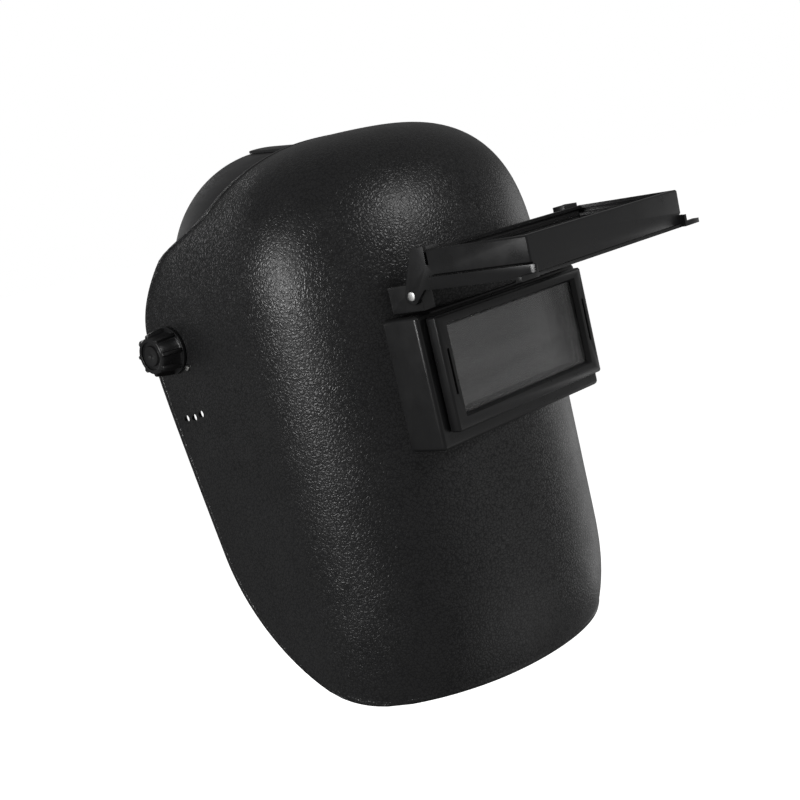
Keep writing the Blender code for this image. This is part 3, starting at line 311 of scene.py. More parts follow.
def link(name, mesh, finish=None):
    obj = bpy.data.objects.new(name, mesh)
    bpy.context.scene.collection.objects.link(obj)
    if finish:
        mesh.materials.clear()
        mesh.materials.append(MATERIALS[finish])
    return obj


def from_bmesh(name, shape, clean=True):
    if clean:
        bmesh.ops.remove_doubles(shape, verts=shape.verts, dist=0.000002)
        bmesh.ops.recalc_face_normals(shape, faces=shape.faces)
    mesh = bpy.data.meshes.new(name)
    shape.to_mesh(mesh)
    shape.free()
    return mesh


def baked(obj):
    """Replaces the object's mesh by what its modifiers make of it."""
    bpy.context.view_layer.update()
    depsgraph = bpy.context.evaluated_depsgraph_get()
    mesh = bpy.data.meshes.new_from_object(obj.evaluated_get(depsgraph), depsgraph=depsgraph)
    obj.modifiers.clear()
    obj.data = mesh
    mesh.name = obj.name
    return obj


def finish(obj, body, finish_name, replaces=(), angle=32):
    """Smooth shading with crisp edges, and the facts that the shared frame needs."""
    obj.data.shade_smooth()
    obj.data.set_sharp_from_angle(angle=math.radians(angle))
    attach(obj, body)
    if replaces:
        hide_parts(*replaces)
    obj.data.calc_loop_triangles()
    TRIANGLES[obj.name] = len(obj.data.loop_triangles)
    print(f"{obj.name}: {TRIANGLES[obj.name]} triangles on {body}")
    return obj


def bevel(obj, width, segments=3, angle=30):
    modifier = obj.modifiers.new("rounded_edges", "BEVEL")
    modifier.width = width
    modifier.segments = segments
    modifier.limit_method = "ANGLE"
    modifier.angle_limit = math.radians(angle)
    return modifier


def boolean(obj, tool, operation):
    modifier = obj.modifiers.new(operation.lower(), "BOOLEAN")
    modifier.operation = operation
    modifier.object = tool
    return modifier


def discard(*objects):
    for obj in objects:
        bpy.data.objects.remove(obj, do_unlink=True)


def soft_box(low, high, radius=0.0, segments=3):
    """A box with rounded edges, as a bmesh."""
    shape = bmesh.new()
    low, high = Vector(low), Vector(high)
    bmesh.ops.create_cube(shape, size=1.0)
    bmesh.ops.scale(shape, vec=high - low, verts=shape.verts)
    bmesh.ops.translate(shape, vec=(low + high) / 2, verts=shape.verts)
    if radius:
        bmesh.ops.bevel(shape, geom=shape.edges[:], offset=radius, segments=segments,
                        profile=0.5, affect="EDGES")
    return shape


def joined(name, shapes):
    """Several closed bmeshes as the separate islands of one mesh."""
    whole = bmesh.new()
    for shape in shapes:
        bmesh.ops.recalc_face_normals(shape, faces=shape.faces)
        part = from_bmesh("part", shape, clean=False)
        whole.from_mesh(part)
        bpy.data.meshes.remove(part)
    return from_bmesh(name, whole, clean=False)


def rod(side, x_low, x_high, radius, y, z, segments=32):
    """A round bar along X on one side of the helmet, as a bmesh."""
    shape = bmesh.new()
    middle = Matrix.Translation((side * (x_low + x_high) / 2, y, z))
    place = middle @ Matrix.Rotation(math.pi / 2, 4, "Y")
    bmesh.ops.create_cone(shape, cap_ends=True, segments=segments, radius1=radius, radius2=radius,
                          depth=x_high - x_low, matrix=place)
    return shape


def loft(name, rings, wrap=False, cap=True):
    """Joins rings of equally many points. wrap closes the last ring on to the first."""
    shape = bmesh.new()
    rows = [[shape.verts.new(p) for p in ring] for ring in rings]
    count = len(rows[0])
    pairs = list(zip(rows, rows[1:])) + ([(rows[-1], rows[0])] if wrap else [])
    for first, second in pairs:
        for i in range(count):
            j = (i + 1) % count
            shape.faces.new((first[i], first[j], second[j], second[i]))
    if cap and not wrap:
        shape.faces.new(rows[0])
        shape.faces.new(rows[-1])
    return from_bmesh(name, shape)


# %% [markdown]
# ## The moulded face shell
# The shell is the main piece, and its shape follows a rule. Each level line is a superellipse: flat
# at the sides, round at the front. The width shrinks over the brow by another superellipse, and the
# rear edge is a line of its own. So the shell is sampled as a fine grid from those formulas. The
# columns crowd together near the edge, where a raised hem 2 mm wide stiffens the moulding. The
# inner surface is the same grid moved 2.4 mm along its normals, and strips join the two edges.

# %% Shell outline rules
def dome_factor(z):
    rise = share((z - DOME_START_Z) / (SHELL_TOP_Z - DOME_START_Z))
    return max(1.0 - rise ** DOME_POWER, 0.0) ** (1.0 / DOME_POWER)


def shell_front(z):
    chin = max(0.0, (CHIN_START_Z - z) / (CHIN_START_Z - SHELL_BOTTOM_Z))
    return SHELL_FRONT_Y + DOME_SETBACK * (1 - dome_factor(z)) + CHIN_SETBACK * chin ** CHIN_POWER


def shell_rim(z):
    slope = RIM_SLOPE_UP if z > RIM_Z else RIM_SLOPE_DOWN
    rim = RIM_Y - slope * (math.hypot(z - RIM_Z, RIM_BLEND) - RIM_BLEND)
    height = z - SHELL_BOTTOM_Z
    if height < JAW_RADIUS:
        rim -= JAW_RADIUS - math.sqrt(max(JAW_RADIUS ** 2 - (JAW_RADIUS - height) ** 2, 0.0))
    return rim - BROW_NOTCH * ease(share((z - BROW_NOTCH_Z) / BROW_NOTCH_RISE))


HEM_WIDTH, HEM_RISE = 0.0021, 0.00035
HEM_STEPS = (0.0, 0.0006, 0.0012, 0.0017, 0.0021, 0.0025, 0.0031, 0.0042, 0.0060)
SHELL_COLUMNS, LOW_ROWS, DOME_ROWS = 150, 66, 54
SECTION_SAMPLES = 400


def walked(points, targets):
    """The points at the given distances along a line."""
    points = np.array(points)
    steps = np.linalg.norm(np.diff(points, axis=0), axis=1)
    lengths = np.concatenate([[0.0], np.cumsum(steps)])
    return [tuple(np.interp(t, lengths, points[:, k]) for k in range(points.shape[1]))
            for t in targets]


def line_length(points):
    return float(np.linalg.norm(np.diff(np.array(points), axis=0), axis=1).sum())


def shell_section(z):
    factor = dome_factor(z)
    half_width, front, depth = SHELL_HALF_WIDTH * factor, shell_front(z), FACE_DEPTH * factor
    side, rim = front + depth, shell_rim(z)
    first = 0.0 if rim > side else math.asin(((side - rim) / depth) ** (FACE_POWER / 2))
    half = [(-half_width, rim)] if rim > side else []
    for i in range(SECTION_SAMPLES + 1):
        angle = first + (math.pi / 2 - first) * i / SECTION_SAMPLES
        half.append((-half_width * max(math.cos(angle), 0.0) ** (2 / FACE_POWER),
                     side - depth * math.sin(angle) ** (2 / FACE_POWER)))
    length = line_length(half)
    columns = SHELL_COLUMNS // 2
    targets = list(HEM_STEPS)
    rest = columns - len(targets)
    targets += [targets[-1] + (length - targets[-1]) * (i + 1) / rest for i in range(rest)]
    half = walked(half, targets)
    hem = HEM_SLOPE * share((DOME_START_Z - z) / (DOME_START_Z - SHELL_BOTTOM_Z))
    outline = half + [(-x, y) for x, y in reversed(half[:-1])]
    return [(x, y, z + hem * (y - SHELL_FRONT_Y)) for x, y in outline]


def shell_levels():
    levels = [SHELL_BOTTOM_Z + step for step in HEM_STEPS]
    rest = LOW_ROWS - len(levels)
    start = levels[-1]
    levels += [start + (DOME_START_Z - start) * (i + 1) / rest for i in range(rest)]
    arch = [(SHELL_HALF_WIDTH * math.cos(t) ** (2 / DOME_POWER),
             DOME_START_Z + (SHELL_TOP_Z - DOME_START_Z) * math.sin(t) ** (2 / DOME_POWER))
            for t in np.linspace(0.0, math.pi / 2, 1500)]
    reach = line_length(arch)
    levels += [z for _, z in walked(arch, [reach * (i + 1) / DOME_ROWS for i in range(DOME_ROWS)])]
    return levels


# %% Shell surfaces, outer with its hem and inner
def level_normals(row, z):
    """Outward normals of one level below the dome, from the superellipse itself."""
    lean = (shell_front(z + 0.00001) - shell_front(z - 0.00001)) / 0.00002
    ahead = np.maximum(shell_front(z) + FACE_DEPTH - row[:, 1], 0.0) / FACE_DEPTH
    across = np.sign(row[:, 0]) * (np.abs(row[:, 0]) / SHELL_HALF_WIDTH) ** (FACE_POWER - 1)
    forward = ahead ** (FACE_POWER - 1) / FACE_DEPTH
    return np.stack([across / SHELL_HALF_WIDTH, -forward, forward * lean], axis=1)


def shell_skins():
    levels = shell_levels()
    grid = np.array([shell_section(z) for z in levels])
    normal = np.cross(np.gradient(grid, axis=1), np.gradient(grid, axis=0))
    for row, z in enumerate(levels[:LOW_ROWS]):
        normal[row] = level_normals(grid[row], z)
    normal /= np.maximum(np.linalg.norm(normal, axis=2, keepdims=True), 1e-12)
    normal[-1] = (0.0, 0.0, 1.0)
    edge = np.concatenate([grid[:, 0], grid[:, -1], grid[0]])
    flat = grid.reshape(-1, 3)
    distance = np.concatenate([np.linalg.norm(chunk[:, None] - edge[None], axis=2).min(axis=1)
                               for chunk in np.array_split(flat, 24)])
    distance = distance.reshape(grid.shape[:2])
    fade = np.clip((HEM_WIDTH + 0.0005 - distance) / 0.0006, 0.0, 1.0)
    rise = HEM_RISE * ease(fade)
    rise[-1] = rise[-2].min()
    outer = grid + normal * rise[..., None]
    outer[..., 2] = np.maximum(outer[..., 2], grid[..., 2].min())
    return outer, grid - normal * SHELL_WALL


def shell_mesh():
    shape = bmesh.new()
    outer, inner = [[[shape.verts.new(p) for p in row] for row in skin] for skin in shell_skins()]
    for skin, step in ((outer, 1), (inner, -1)):
        for lower, upper in zip(skin, skin[1:]):
            for i in range(len(lower) - 1):
                corners = (lower[i], lower[i + 1], upper[i + 1], upper[i])
                shape.faces.new(corners[::step])
    for row, (out_low, in_low) in enumerate(zip(outer[:-1], inner[:-1])):
        out_high, in_high = outer[row + 1], inner[row + 1]
        shape.faces.new((out_low[0], out_high[0], in_high[0], in_low[0]))
        shape.faces.new((out_low[-1], in_low[-1], in_high[-1], out_high[-1]))
    for i in range(len(outer[0]) - 1):
        shape.faces.new((outer[0][i], inner[0][i], inner[0][i + 1], outer[0][i + 1]))
    bmesh.ops.remove_doubles(shape, verts=shape.verts, dist=0.00002)
    bmesh.ops.dissolve_degenerate(shape, edges=shape.edges, dist=0.00001)
    return from_bmesh("face_shell_skins", shape)


# %% [markdown]
# ## The window block on the shell
# The block that the lens frame clips to is part of the same moulding, but its tool is polished. It
# is joined to the shell by a Boolean, which leaves the crisp crease where the smooth block grows
# out of the grained face. Then the chamber behind the lens, the window, the snap slots, the hinge
# holes and the holes for the side bolts are cut. Each operation takes one tool made of separate
# closed islands, because one exact Boolean of many islands is faster than many small ones.

# %% Window block sizes
BLOCK_HALF_WIDTH, BLOCK_TOP, BLOCK_BOTTOM = 0.0629, 0.0092, 0.0743
BLOCK_FRONT, BLOCK_BACK, BLOCK_WALL = 0.0019, -0.0240, 0.0024
OPENING_HALF_WIDTH, OPENING_HALF_HEIGHT = 0.0520, 0.0235
WINDOW_DROP = 0.0381
SNAP_X, SNAP_HALF_LENGTH = 0.0560, 0.0110
LUG_INNER_X, LUG_OUTER_X = 0.0495, 0.0579
LUG_FRONT, LUG_BACK, LUG_TOP, LUG_BOTTOM = 0.0036, -0.0185, 0.0056, -0.0079
PIN_HOLE_RADIUS, BOLT_HOLE_RADIUS = 0.0025, 0.0044
STOP_PIN_RADIUS, STOP_PIN_OFFSET, STOP_PIN_ANGLE = 0.0015, 0.0146, math.radians(-136)
STOP_HOLE_RADIUS, STOP_HOLE_FLARE, STOP_HOLE_CIRCLE = 0.0018, 0.0030, 0.0368
BLOCK_ROUNDING, LUG_ROUNDING = 0.0022, 0.0007
CHAMBER_BACK, PAST = -0.0600, 0.0200
SLOT_HALF_WIDTH, SLOT_PLAY = 0.0010, 0.0004
BOLT_HOLE_INNER_X, BOLT_HOLE_OUTER_X = 0.0850, 0.1000
STOP_HOLE_ANGLES = [math.radians(a) for a in (-88, -98, -108)]


def front_box(side, x_low, x_high, top, bottom, front, back, radius=0.0, segments=3):
    """A box by its drop below the hinge line and its depth ahead of it; side 0 spans both sides."""
    xs = (x_low, x_high) if side == 0 else sorted((side * x_low, side * x_high))
    return soft_box((xs[0], HINGE_Y - front, HINGE_Z - bottom),
                    (xs[1], HINGE_Y - back, HINGE_Z - top), radius, segments)


def flared_hole(side, angle, circle, radius, flare):
    """A cutter for a small hole near the pivot, from radius outside to flare inside."""
    hole = rod(side, SHELL_HALF_WIDTH - SHELL_WALL, SHELL_HALF_WIDTH, 1.0, 0.0, 0.0, 24)
    for corner in hole.verts:
        depth = (SHELL_HALF_WIDTH - abs(corner.co.x)) / SHELL_WALL
        width = radius + (flare - radius) * depth
        corner.co.x += side * 0.001 * (1 - 2 * depth)
        corner.co.y = PIVOT_Y + circle * math.cos(angle) + width * corner.co.y
        corner.co.z = PIVOT_Z + circle * math.sin(angle) + width * corner.co.z
    return hole


# %% Shell, block and holes in one moulding
def make_face_shell():
    shell = link("helmet_shell", shell_mesh(), "shell")
    shell.data.materials.append(MATERIALS["satin"])
    bevel(shell, 0.0005, 2, 50)
    baked(shell)

    width = BLOCK_HALF_WIDTH
    block = joined("block", [front_box(0, -width, width, BLOCK_TOP, BLOCK_BOTTOM,
                                       BLOCK_FRONT, BLOCK_BACK, BLOCK_ROUNDING, 5)])
    lugs = joined("lugs", [front_box(side, LUG_INNER_X, LUG_OUTER_X, -LUG_TOP, -LUG_BOTTOM,
                                     LUG_FRONT, LUG_BACK, LUG_ROUNDING) for side in SIDES.values()])
    inner = width - BLOCK_WALL
    first_cut, second_cut = [], []
    first_cut.append(front_box(0, -inner, inner, BLOCK_TOP + BLOCK_WALL, BLOCK_BOTTOM - BLOCK_WALL,
                               BLOCK_FRONT - BLOCK_WALL, CHAMBER_BACK))
    second_cut.append(front_box(0, -OPENING_HALF_WIDTH, OPENING_HALF_WIDTH,
                                WINDOW_DROP - OPENING_HALF_HEIGHT,
                                WINDOW_DROP + OPENING_HALF_HEIGHT, PAST, -PAST))
    for side in SIDES.values():
        second_cut.append(front_box(side, SNAP_X - SLOT_HALF_WIDTH, SNAP_X + SLOT_HALF_WIDTH,
                                    WINDOW_DROP - SNAP_HALF_LENGTH - SLOT_PLAY,
                                    WINDOW_DROP + SNAP_HALF_LENGTH + SLOT_PLAY, 0.010, -0.006))
        second_cut.append(rod(side, LUG_INNER_X - 0.002, LUG_OUTER_X + 0.002, PIN_HOLE_RADIUS,
                              HINGE_Y, HINGE_Z, 36))
        first_cut.append(rod(side, BOLT_HOLE_INNER_X, BOLT_HOLE_OUTER_X, BOLT_HOLE_RADIUS,
                             PIVOT_Y, PIVOT_Z, 36))
        play = STOP_PIN_RADIUS + GAP
        first_cut.append(flared_hole(side, STOP_PIN_ANGLE, STOP_PIN_OFFSET, play, play))
        first_cut += [flared_hole(side, angle, STOP_HOLE_CIRCLE, STOP_HOLE_RADIUS, STOP_HOLE_FLARE)
                      for angle in STOP_HOLE_ANGLES]
    tools = [link("block", block), link("lugs", lugs), link("first", joined("first", first_cut)),
             link("second", joined("second", second_cut))]
    for tool in tools:
        tool.data.materials.append(MATERIALS["shell"])
        tool.data.materials.append(MATERIALS["satin"])
        for face in tool.data.polygons:
            face.material_index = 1
    for tool, operation in zip(tools, ("UNION", "UNION", "DIFFERENCE", "DIFFERENCE")):
        boolean(shell, tool, operation)
    baked(shell)
    discard(*tools)
    return finish(shell, "shell", "shell", ["face_shell"], 28)


make_face_shell()

# %% [markdown]
# ## Rounding the machined-looking solids
# The CAD solids of the frame, the filter holder and the brackets already have the right shape, but
# their edges are knife sharp. A moulded edge has a radius of a few tenths of a millimetre, and that
# radius is what catches the light. So a copy of each solid has its loose triangles merged into flat
# faces again, and a Bevel modifier rounds every edge that is sharper than a set angle.

# %% Softened copies of CAD solids
def softened(name, radius, finish_name):
    source = frame["nodes"][name]
    shape = bmesh.new()
    shape.from_mesh(source.data)
    bmesh.ops.remove_doubles(shape, verts=shape.verts, dist=0.000003)
    bmesh.ops.dissolve_limit(shape, angle_limit=math.radians(0.6), verts=shape.verts,
                             edges=shape.edges)
    obj = link(name + "_moulded", from_bmesh(name, shape), finish_name)
    bevel(obj, radius, 2, 34)
    baked(obj)
    return finish(obj, source["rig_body"], finish_name, [name])


SOFT_EDGES = {
    "lens_frame": (0.00035, "satin"), "flip_cover": (0.0003, "satin"),
    "flip_inner_frame": (0.0003, "satin"), "inner_lens_retainer": (0.0004, "satin"),
    "ratchet_base": (0.0004, "satin"), "ratchet_cover": (0.0004, "satin"),
    "ratchet_pinion": (0.0002, "satin"), "filter_clip": (0.0002, "steel"),
}
for side_word in SIDES:
    SOFT_EDGES[f"side_plate_{side_word}"] = (0.0005, "satin")
    SOFT_EDGES[f"stop_plate_{side_word}"] = (0.0003, "satin")
    SOFT_EDGES[f"pivot_bolt_{side_word}"] = (0.0004, "steel")
    SOFT_EDGES[f"stop_pin_{side_word}"] = (0.0003, "steel")
    SOFT_EDGES[f"hinge_pin_{side_word}"] = (0.0003, "pin")
    SOFT_EDGES[f"strap_stud_{side_word}"] = (0.0004, "strap")
    SOFT_EDGES[f"friction_washer_{side_word}"] = (0.0003, "rubber")
for node_name, (edge_radius, finish_name) in SOFT_EDGES.items():
    softened(node_name, edge_radius, finish_name)

# %% [markdown]
# ## Carried-over solids
# The flat lenses, their gaskets and the spring wire are right as they are. They keep their CAD
# meshes and only get a better material, put straight into the object's material slots.

# %% Materials for the CAD solids that stay
STAYING = {"clear_lens": "clear", "inner_lens": "clear", "cover_plate": "clear",
           "shade_filter": "shade", "lens_gasket": "rubber", "filter_gasket": "rubber",
           "retainer_spring": "steel"}
for node_name, finish_name in STAYING.items():
    kept = frame["nodes"][node_name]
    for material_slot in kept.material_slots:
        material_slot.material = MATERIALS[finish_name]
print("kept CAD solids:", ", ".join(STAYING))

# %% [markdown]
# ## Side knobs
# The tilt knobs are turned shapes with eight grip ribs and a flange that presses on the shell. A
# Screw modifier could turn the profile, but the ribs would then be separate. Here each ring of the
# profile is written out round the axis, and its radius is raised where a rib passes, so knob and
# ribs are one closed skin with soft shoulders.

# %% A turned shape with ribs
RIB_SHOULDER_START, RIB_SHOULDER = 0.0003, 0.0005


def rib_share(angle, ribs, radius, half_width):
    if not ribs:
        return 0.0
    turn = (angle * ribs / math.tau) % 1.0
    offset = min(turn, 1.0 - turn) * math.tau / ribs * radius
    return ease(share((half_width + RIB_SHOULDER_START - offset) / RIB_SHOULDER))


def turned(name, rows, place, steps, ribs=0, rib_half_width=0.0008):
    """Each row is (distance out, radius, rib height); place puts (out, across, up) in the frame."""
    rings = []
    for out, radius, height in rows:
        ring = []
        for i in range(steps):
            angle = math.tau * i / steps
            reach = radius + height * rib_share(angle, ribs, max(radius, 0.008), rib_half_width)
            ring.append(place(out, reach * math.cos(angle), reach * math.sin(angle)))
        rings.append(ring)
    return loft(name, rings, cap=False)


KNOB_ROWS = [(0.0100, 0.0, 0), (0.0100, 0.0044, 0), (0.0003, 0.0044, 0), (0.0, 0.0047, 0),
             (0.0, 0.0123, 0), (0.0001, 0.0126, 0), (0.0005, 0.0127, 0), (0.0011, 0.0127, 0),
             (0.0015, 0.0126, 0), (0.0016, 0.0122, 0), (0.0016, 0.0112, 0.0008),
             (0.0018, 0.0107, 0.0016), (0.0024, 0.0105, 0.0019), (0.0060, 0.0102, 0.0018),
             (0.0100, 0.0098, 0.0016), (0.0120, 0.0096, 0.0014), (0.0126, 0.00945, 0.0012),
             (0.0129, 0.0091, 0.0010), (0.0130, 0.0086, 0.0006), (0.0130, 0.0076, 0),
             (0.0129, 0.0074, 0), (0.0120, 0.0073, 0), (0.0118, 0.0071, 0), (0.0118, 0.0055, 0),
             (0.0120, 0.0053, 0), (0.0126, 0.0052, 0), (0.0128, 0.0050, 0), (0.0128, 0.0016, 0),
             (0.0124, 0.0010, 0), (0.0123, 0.0, 0)]


def make_pivot_knob(word, side):
    def place(out, across, up):
        return (side * (SHELL_HALF_WIDTH + GAP + out), PIVOT_Y + across, PIVOT_Z + up)

    knob = link(f"tilt_knob_{word}", turned("knob", KNOB_ROWS, place, 192, 8, 0.0008), "satin")
    return finish(knob, f"knob_{word}", "satin", [f"pivot_knob_{word}"], 38)


for side_word, side_sign in SIDES.items():
    make_pivot_knob(side_word, side_sign)

# %% [markdown]
# ## Repeating things along a route
# Stitches, slots, grip ridges and holes all repeat along a line. One Geometry Nodes tree does them
# all: it turns the route into points, stands a copy of the template on each, makes the copies
# real, and gives them their material. Its inputs are the template, the number of copies, the
# direction that stays upright, a small wobble, and the seed of that wobble.

# %% The repeating tree
def repeat_tree():
    tree = bpy.data.node_groups.new("repeat_along_route", "GeometryNodeTree")
    face = tree.interface
    face.new_socket("Geometry", in_out="INPUT", socket_type="NodeSocketGeometry")
    for label, kind in (("Template", "Object"), ("Count", "Int"), ("Upright", "Vector"),
                        ("Wobble", "Float"), ("Seed", "Int"), ("Finish", "Material")):
        face.new_socket(label, in_out="INPUT", socket_type="NodeSocket" + kind)
    face.new_socket("Geometry", in_out="OUTPUT", socket_type="NodeSocketGeometry")
    given = tree.nodes.new("NodeGroupInput").outputs
    route = node(tree, "GeometryNodeMeshToCurve", Mesh=given["Geometry"])
    points = node(tree, "GeometryNodeCurveToPoints", {"mode": "COUNT"},
                  Curve=route.outputs["Curve"], Count=given["Count"])
    ahead = node(tree, "FunctionNodeAlignRotationToVector", {"axis": "X"},
                 Vector=points.outputs["Tangent"])
    stood = node(tree, "FunctionNodeAlignRotationToVector", {"axis": "Z", "pivot_axis": "X"},
                 Rotation=ahead.outputs["Rotation"], Vector=given["Upright"])
    template = node(tree, "GeometryNodeObjectInfo", Object=given["Template"])
    copies = node(tree, "GeometryNodeInstanceOnPoints", Points=points.outputs["Points"],
                  Instance=template.outputs["Geometry"], Rotation=stood.outputs["Rotation"])
    low = node(tree, "ShaderNodeMath", {"operation": "MULTIPLY"})
    tree.links.new(given["Wobble"], low.inputs[0])
    low.inputs[1].default_value = -1.0
    chance = node(tree, "FunctionNodeRandomValue", {"data_type": "FLOAT"}, Seed=given["Seed"])
    floats = [s for s in chance.inputs if s.type == "VALUE"]
    tree.links.new(low.outputs[0], floats[0])
    tree.links.new(given["Wobble"], floats[1])
    turn = node(tree, "ShaderNodeCombineXYZ")
    tree.links.new([s for s in chance.outputs if s.type == "VALUE"][0], turn.inputs["Z"])
    turned_copies = node(tree, "GeometryNodeRotateInstances", Instances=copies.outputs["Instances"])
    tree.links.new(turn.outputs["Vector"], turned_copies.inputs["Rotation"])
    real = node(tree, "GeometryNodeRealizeInstances", Geometry=turned_copies.outputs["Instances"])
    dressed = node(tree, "GeometryNodeSetMaterial", Geometry=real.outputs["Geometry"],
                   Material=given["Finish"])
    result = tree.nodes.new("NodeGroupOutput")
    tree.links.new(dressed.outputs["Geometry"], result.inputs["Geometry"])
    return tree


REPEAT = repeat_tree()


def repeated(name, route, template_shape, count, upright, finish_name, wobble=0.0, seed=7,
             closed=False):
    """Copies of a template along a route of points, baked to one plain mesh."""
    edges = [(i, i + 1) for i in range(len(route) - 1)] + ([(len(route) - 1, 0)] if closed else [])
    line = bpy.data.meshes.new(name)
    line.from_pydata([tuple(p) for p in route], edges, [])
    obj = link(name, line)
    template = link(name + "_template", from_bmesh(name, template_shape))
    modifier = obj.modifiers.new("repeat", "NODES")
    modifier.node_group = REPEAT
    values = {"Template": template, "Count": count, "Upright": upright, "Wobble": wobble,
              "Seed": seed, "Finish": MATERIALS[finish_name]}
    for item in REPEAT.interface.items_tree:
        if item.item_type == "SOCKET" and item.in_out == "INPUT" and item.name in values:
            modifier[item.identifier] = values[item.name]
    obj.update_tag()
    baked(obj)
    discard(template)
    return obj


# %% [markdown]
# ## Headgear strips
# The headband, the rear straps and the crown strap are injection-moulded strips that are bent
# round the head. Each is a loft: a rounded rectangle is carried along the strip's middle line, and
# turned so that it always lies flat in the strip. The ends are rounded by narrowing the last few
# sections along a circle.

# %% A moulded strip
def flat_section(half_across, half_thick, corner, steps=3):
    """The outline of a strip's cross-section, as (across, out) pairs."""
    outline = []
    for quarter, (sx, sy) in enumerate(((1, 1), (-1, 1), (-1, -1), (1, -1))):
        for i in range(steps + 1):
            angle = math.pi / 2 * (quarter + i / steps)
            outline.append((sx * (half_across - corner) + corner * math.cos(angle),
                            sy * (half_thick - corner) + corner * math.sin(angle)))
    return outline


def strip(name, edges, thickness, corner=0.0005):
    """edges are pairs of points, the strip's two borders along its length."""
    low = np.array([a for a, _ in edges])
    high = np.array([b for _, b in edges])
    middle = (low + high) / 2
    tangent = np.gradient(middle, axis=0)
    rings = []
    for a, b, centre, ahead in zip(low, high, middle, tangent):
        across = (b - a) / np.linalg.norm(b - a)
        out = np.cross(ahead, across)
        out /= np.linalg.norm(out)
        half = np.linalg.norm(b - a) / 2
        rings.append([tuple(centre + across * s + out * t)
                      for s, t in flat_section(half, thickness / 2, min(corner, half * 0.9))])
    return loft(name, rings)


def tip(distance, radius, half):
    """How wide a strip with a round end is at this distance from the end."""
    if distance >= radius:
        return half
    return half - radius + math.sqrt(max(radius ** 2 - (radius - distance) ** 2, 0.0))


# %% Headband
BAND_HALF_WIDTH, BAND_FRONT_Y, BAND_ARC_Y, BAND_ARM_END_Y = 0.0772, -0.0932, -0.0270, 0.0400
BAND_THICKNESS, BAND_HEIGHT, BAND_Z = 0.0020, 0.0260, 0.0050
BAND_TIP_RADIUS, BAND_END_FLAT = 0.0060, 0.0002
SLOT_ROW_Z, SLOT_COUNT, SLOTS_FROM_Y, SLOTS_INSET = 0.0065, 15, -0.030, 0.008
SLOT_HALF = Vector((0.0036, 0.0040, 0.0014))


def band_line(inset=0.0, steps=90, arm_steps=24):
    """The band's middle line from the right arm's end round the brow to the left arm's end."""
    half, front = BAND_HALF_WIDTH - inset, BAND_FRONT_Y + inset
    arm = [(-half, BAND_ARM_END_Y + (BAND_ARC_Y - BAND_ARM_END_Y) * i / arm_steps)
           for i in range(arm_steps)]
    brow = [(-half * math.cos(math.pi * i / steps),
             BAND_ARC_Y + (front - BAND_ARC_Y) * math.sin(math.pi * i / steps))
            for i in range(steps + 1)]
    return arm + brow + [(-x, y) for x, y in reversed(arm)]


def make_headband():
    line = band_line()
    edges = []
    for x, y in line:
        end_distance = BAND_ARM_END_Y - y + BAND_END_FLAT
        half = tip(end_distance, BAND_TIP_RADIUS, BAND_HEIGHT / 2)
        edges.append(((x, y, BAND_Z - half), (x, y, BAND_Z + half)))
    band = link("brow_band", strip("band", edges, BAND_THICKNESS), "strap")
    brow = [(x, y) for x, y in line if y < SLOTS_FROM_Y]
    steps = np.linspace(SLOTS_INSET, line_length(brow) - SLOTS_INSET, 120)
    for height in (SLOT_ROW_Z, -SLOT_ROW_Z):
        route = [(x, y, BAND_Z + height) for x, y in walked(brow, steps)]
        slots = repeated("slots", route, soft_box(-SLOT_HALF, SLOT_HALF, 0.0011), SLOT_COUNT,
                         (0.0, 0.0, 1.0), "strap")
        boolean(band, slots, "DIFFERENCE")
        baked(band)
        discard(slots)
    return finish(band, "headgear", "strap", ["headband_front"])


make_headband()

# %% Rear straps with their rack tails
REAR_HALF_WIDTH, REAR_START_Y, REAR_ARC_Y, REAR_BACK_Y = 0.0748, -0.0120, 0.0290, 0.0950
REAR_THICKNESS, REAR_HEIGHT, REAR_DROP, REAR_POWER = 0.0018, 0.0200, 0.0220, 2.8
TAIL_HEIGHT, TAIL_OFFSET, TAIL_REACH = 0.0060, 0.0086, 0.0260
TAIL_START_X, TAIL_BLEND = -0.062, 0.022
REAR_TIP_RADIUS, REAR_TIP_X = 0.0060, -0.0700
RACK_TEETH = 26
TOOTH_HALF = Vector((0.0007, 0.0008, 0.0004))


def rear_line(steps=80):
    """The right half of the rear strap: (x, y, how far it has turned to the nape)."""
    points = [(-REAR_HALF_WIDTH, REAR_START_Y + (REAR_ARC_Y - REAR_START_Y) * i / 16, 0.0)
              for i in range(16)]
    overshoot = math.acos((TAIL_REACH / REAR_HALF_WIDTH) ** (REAR_POWER / 2))
    for i in range(steps + 1):
        angle = (math.pi - overshoot) * i / steps
        across, behind = math.cos(angle), math.sin(angle)
        points.append((-REAR_HALF_WIDTH * math.copysign(abs(across) ** (2 / REAR_POWER), across),
                       REAR_ARC_Y + (REAR_BACK_Y - REAR_ARC_Y) * behind ** (2 / REAR_POWER),
                       min(angle / (math.pi / 2), 1.0)))
    return points


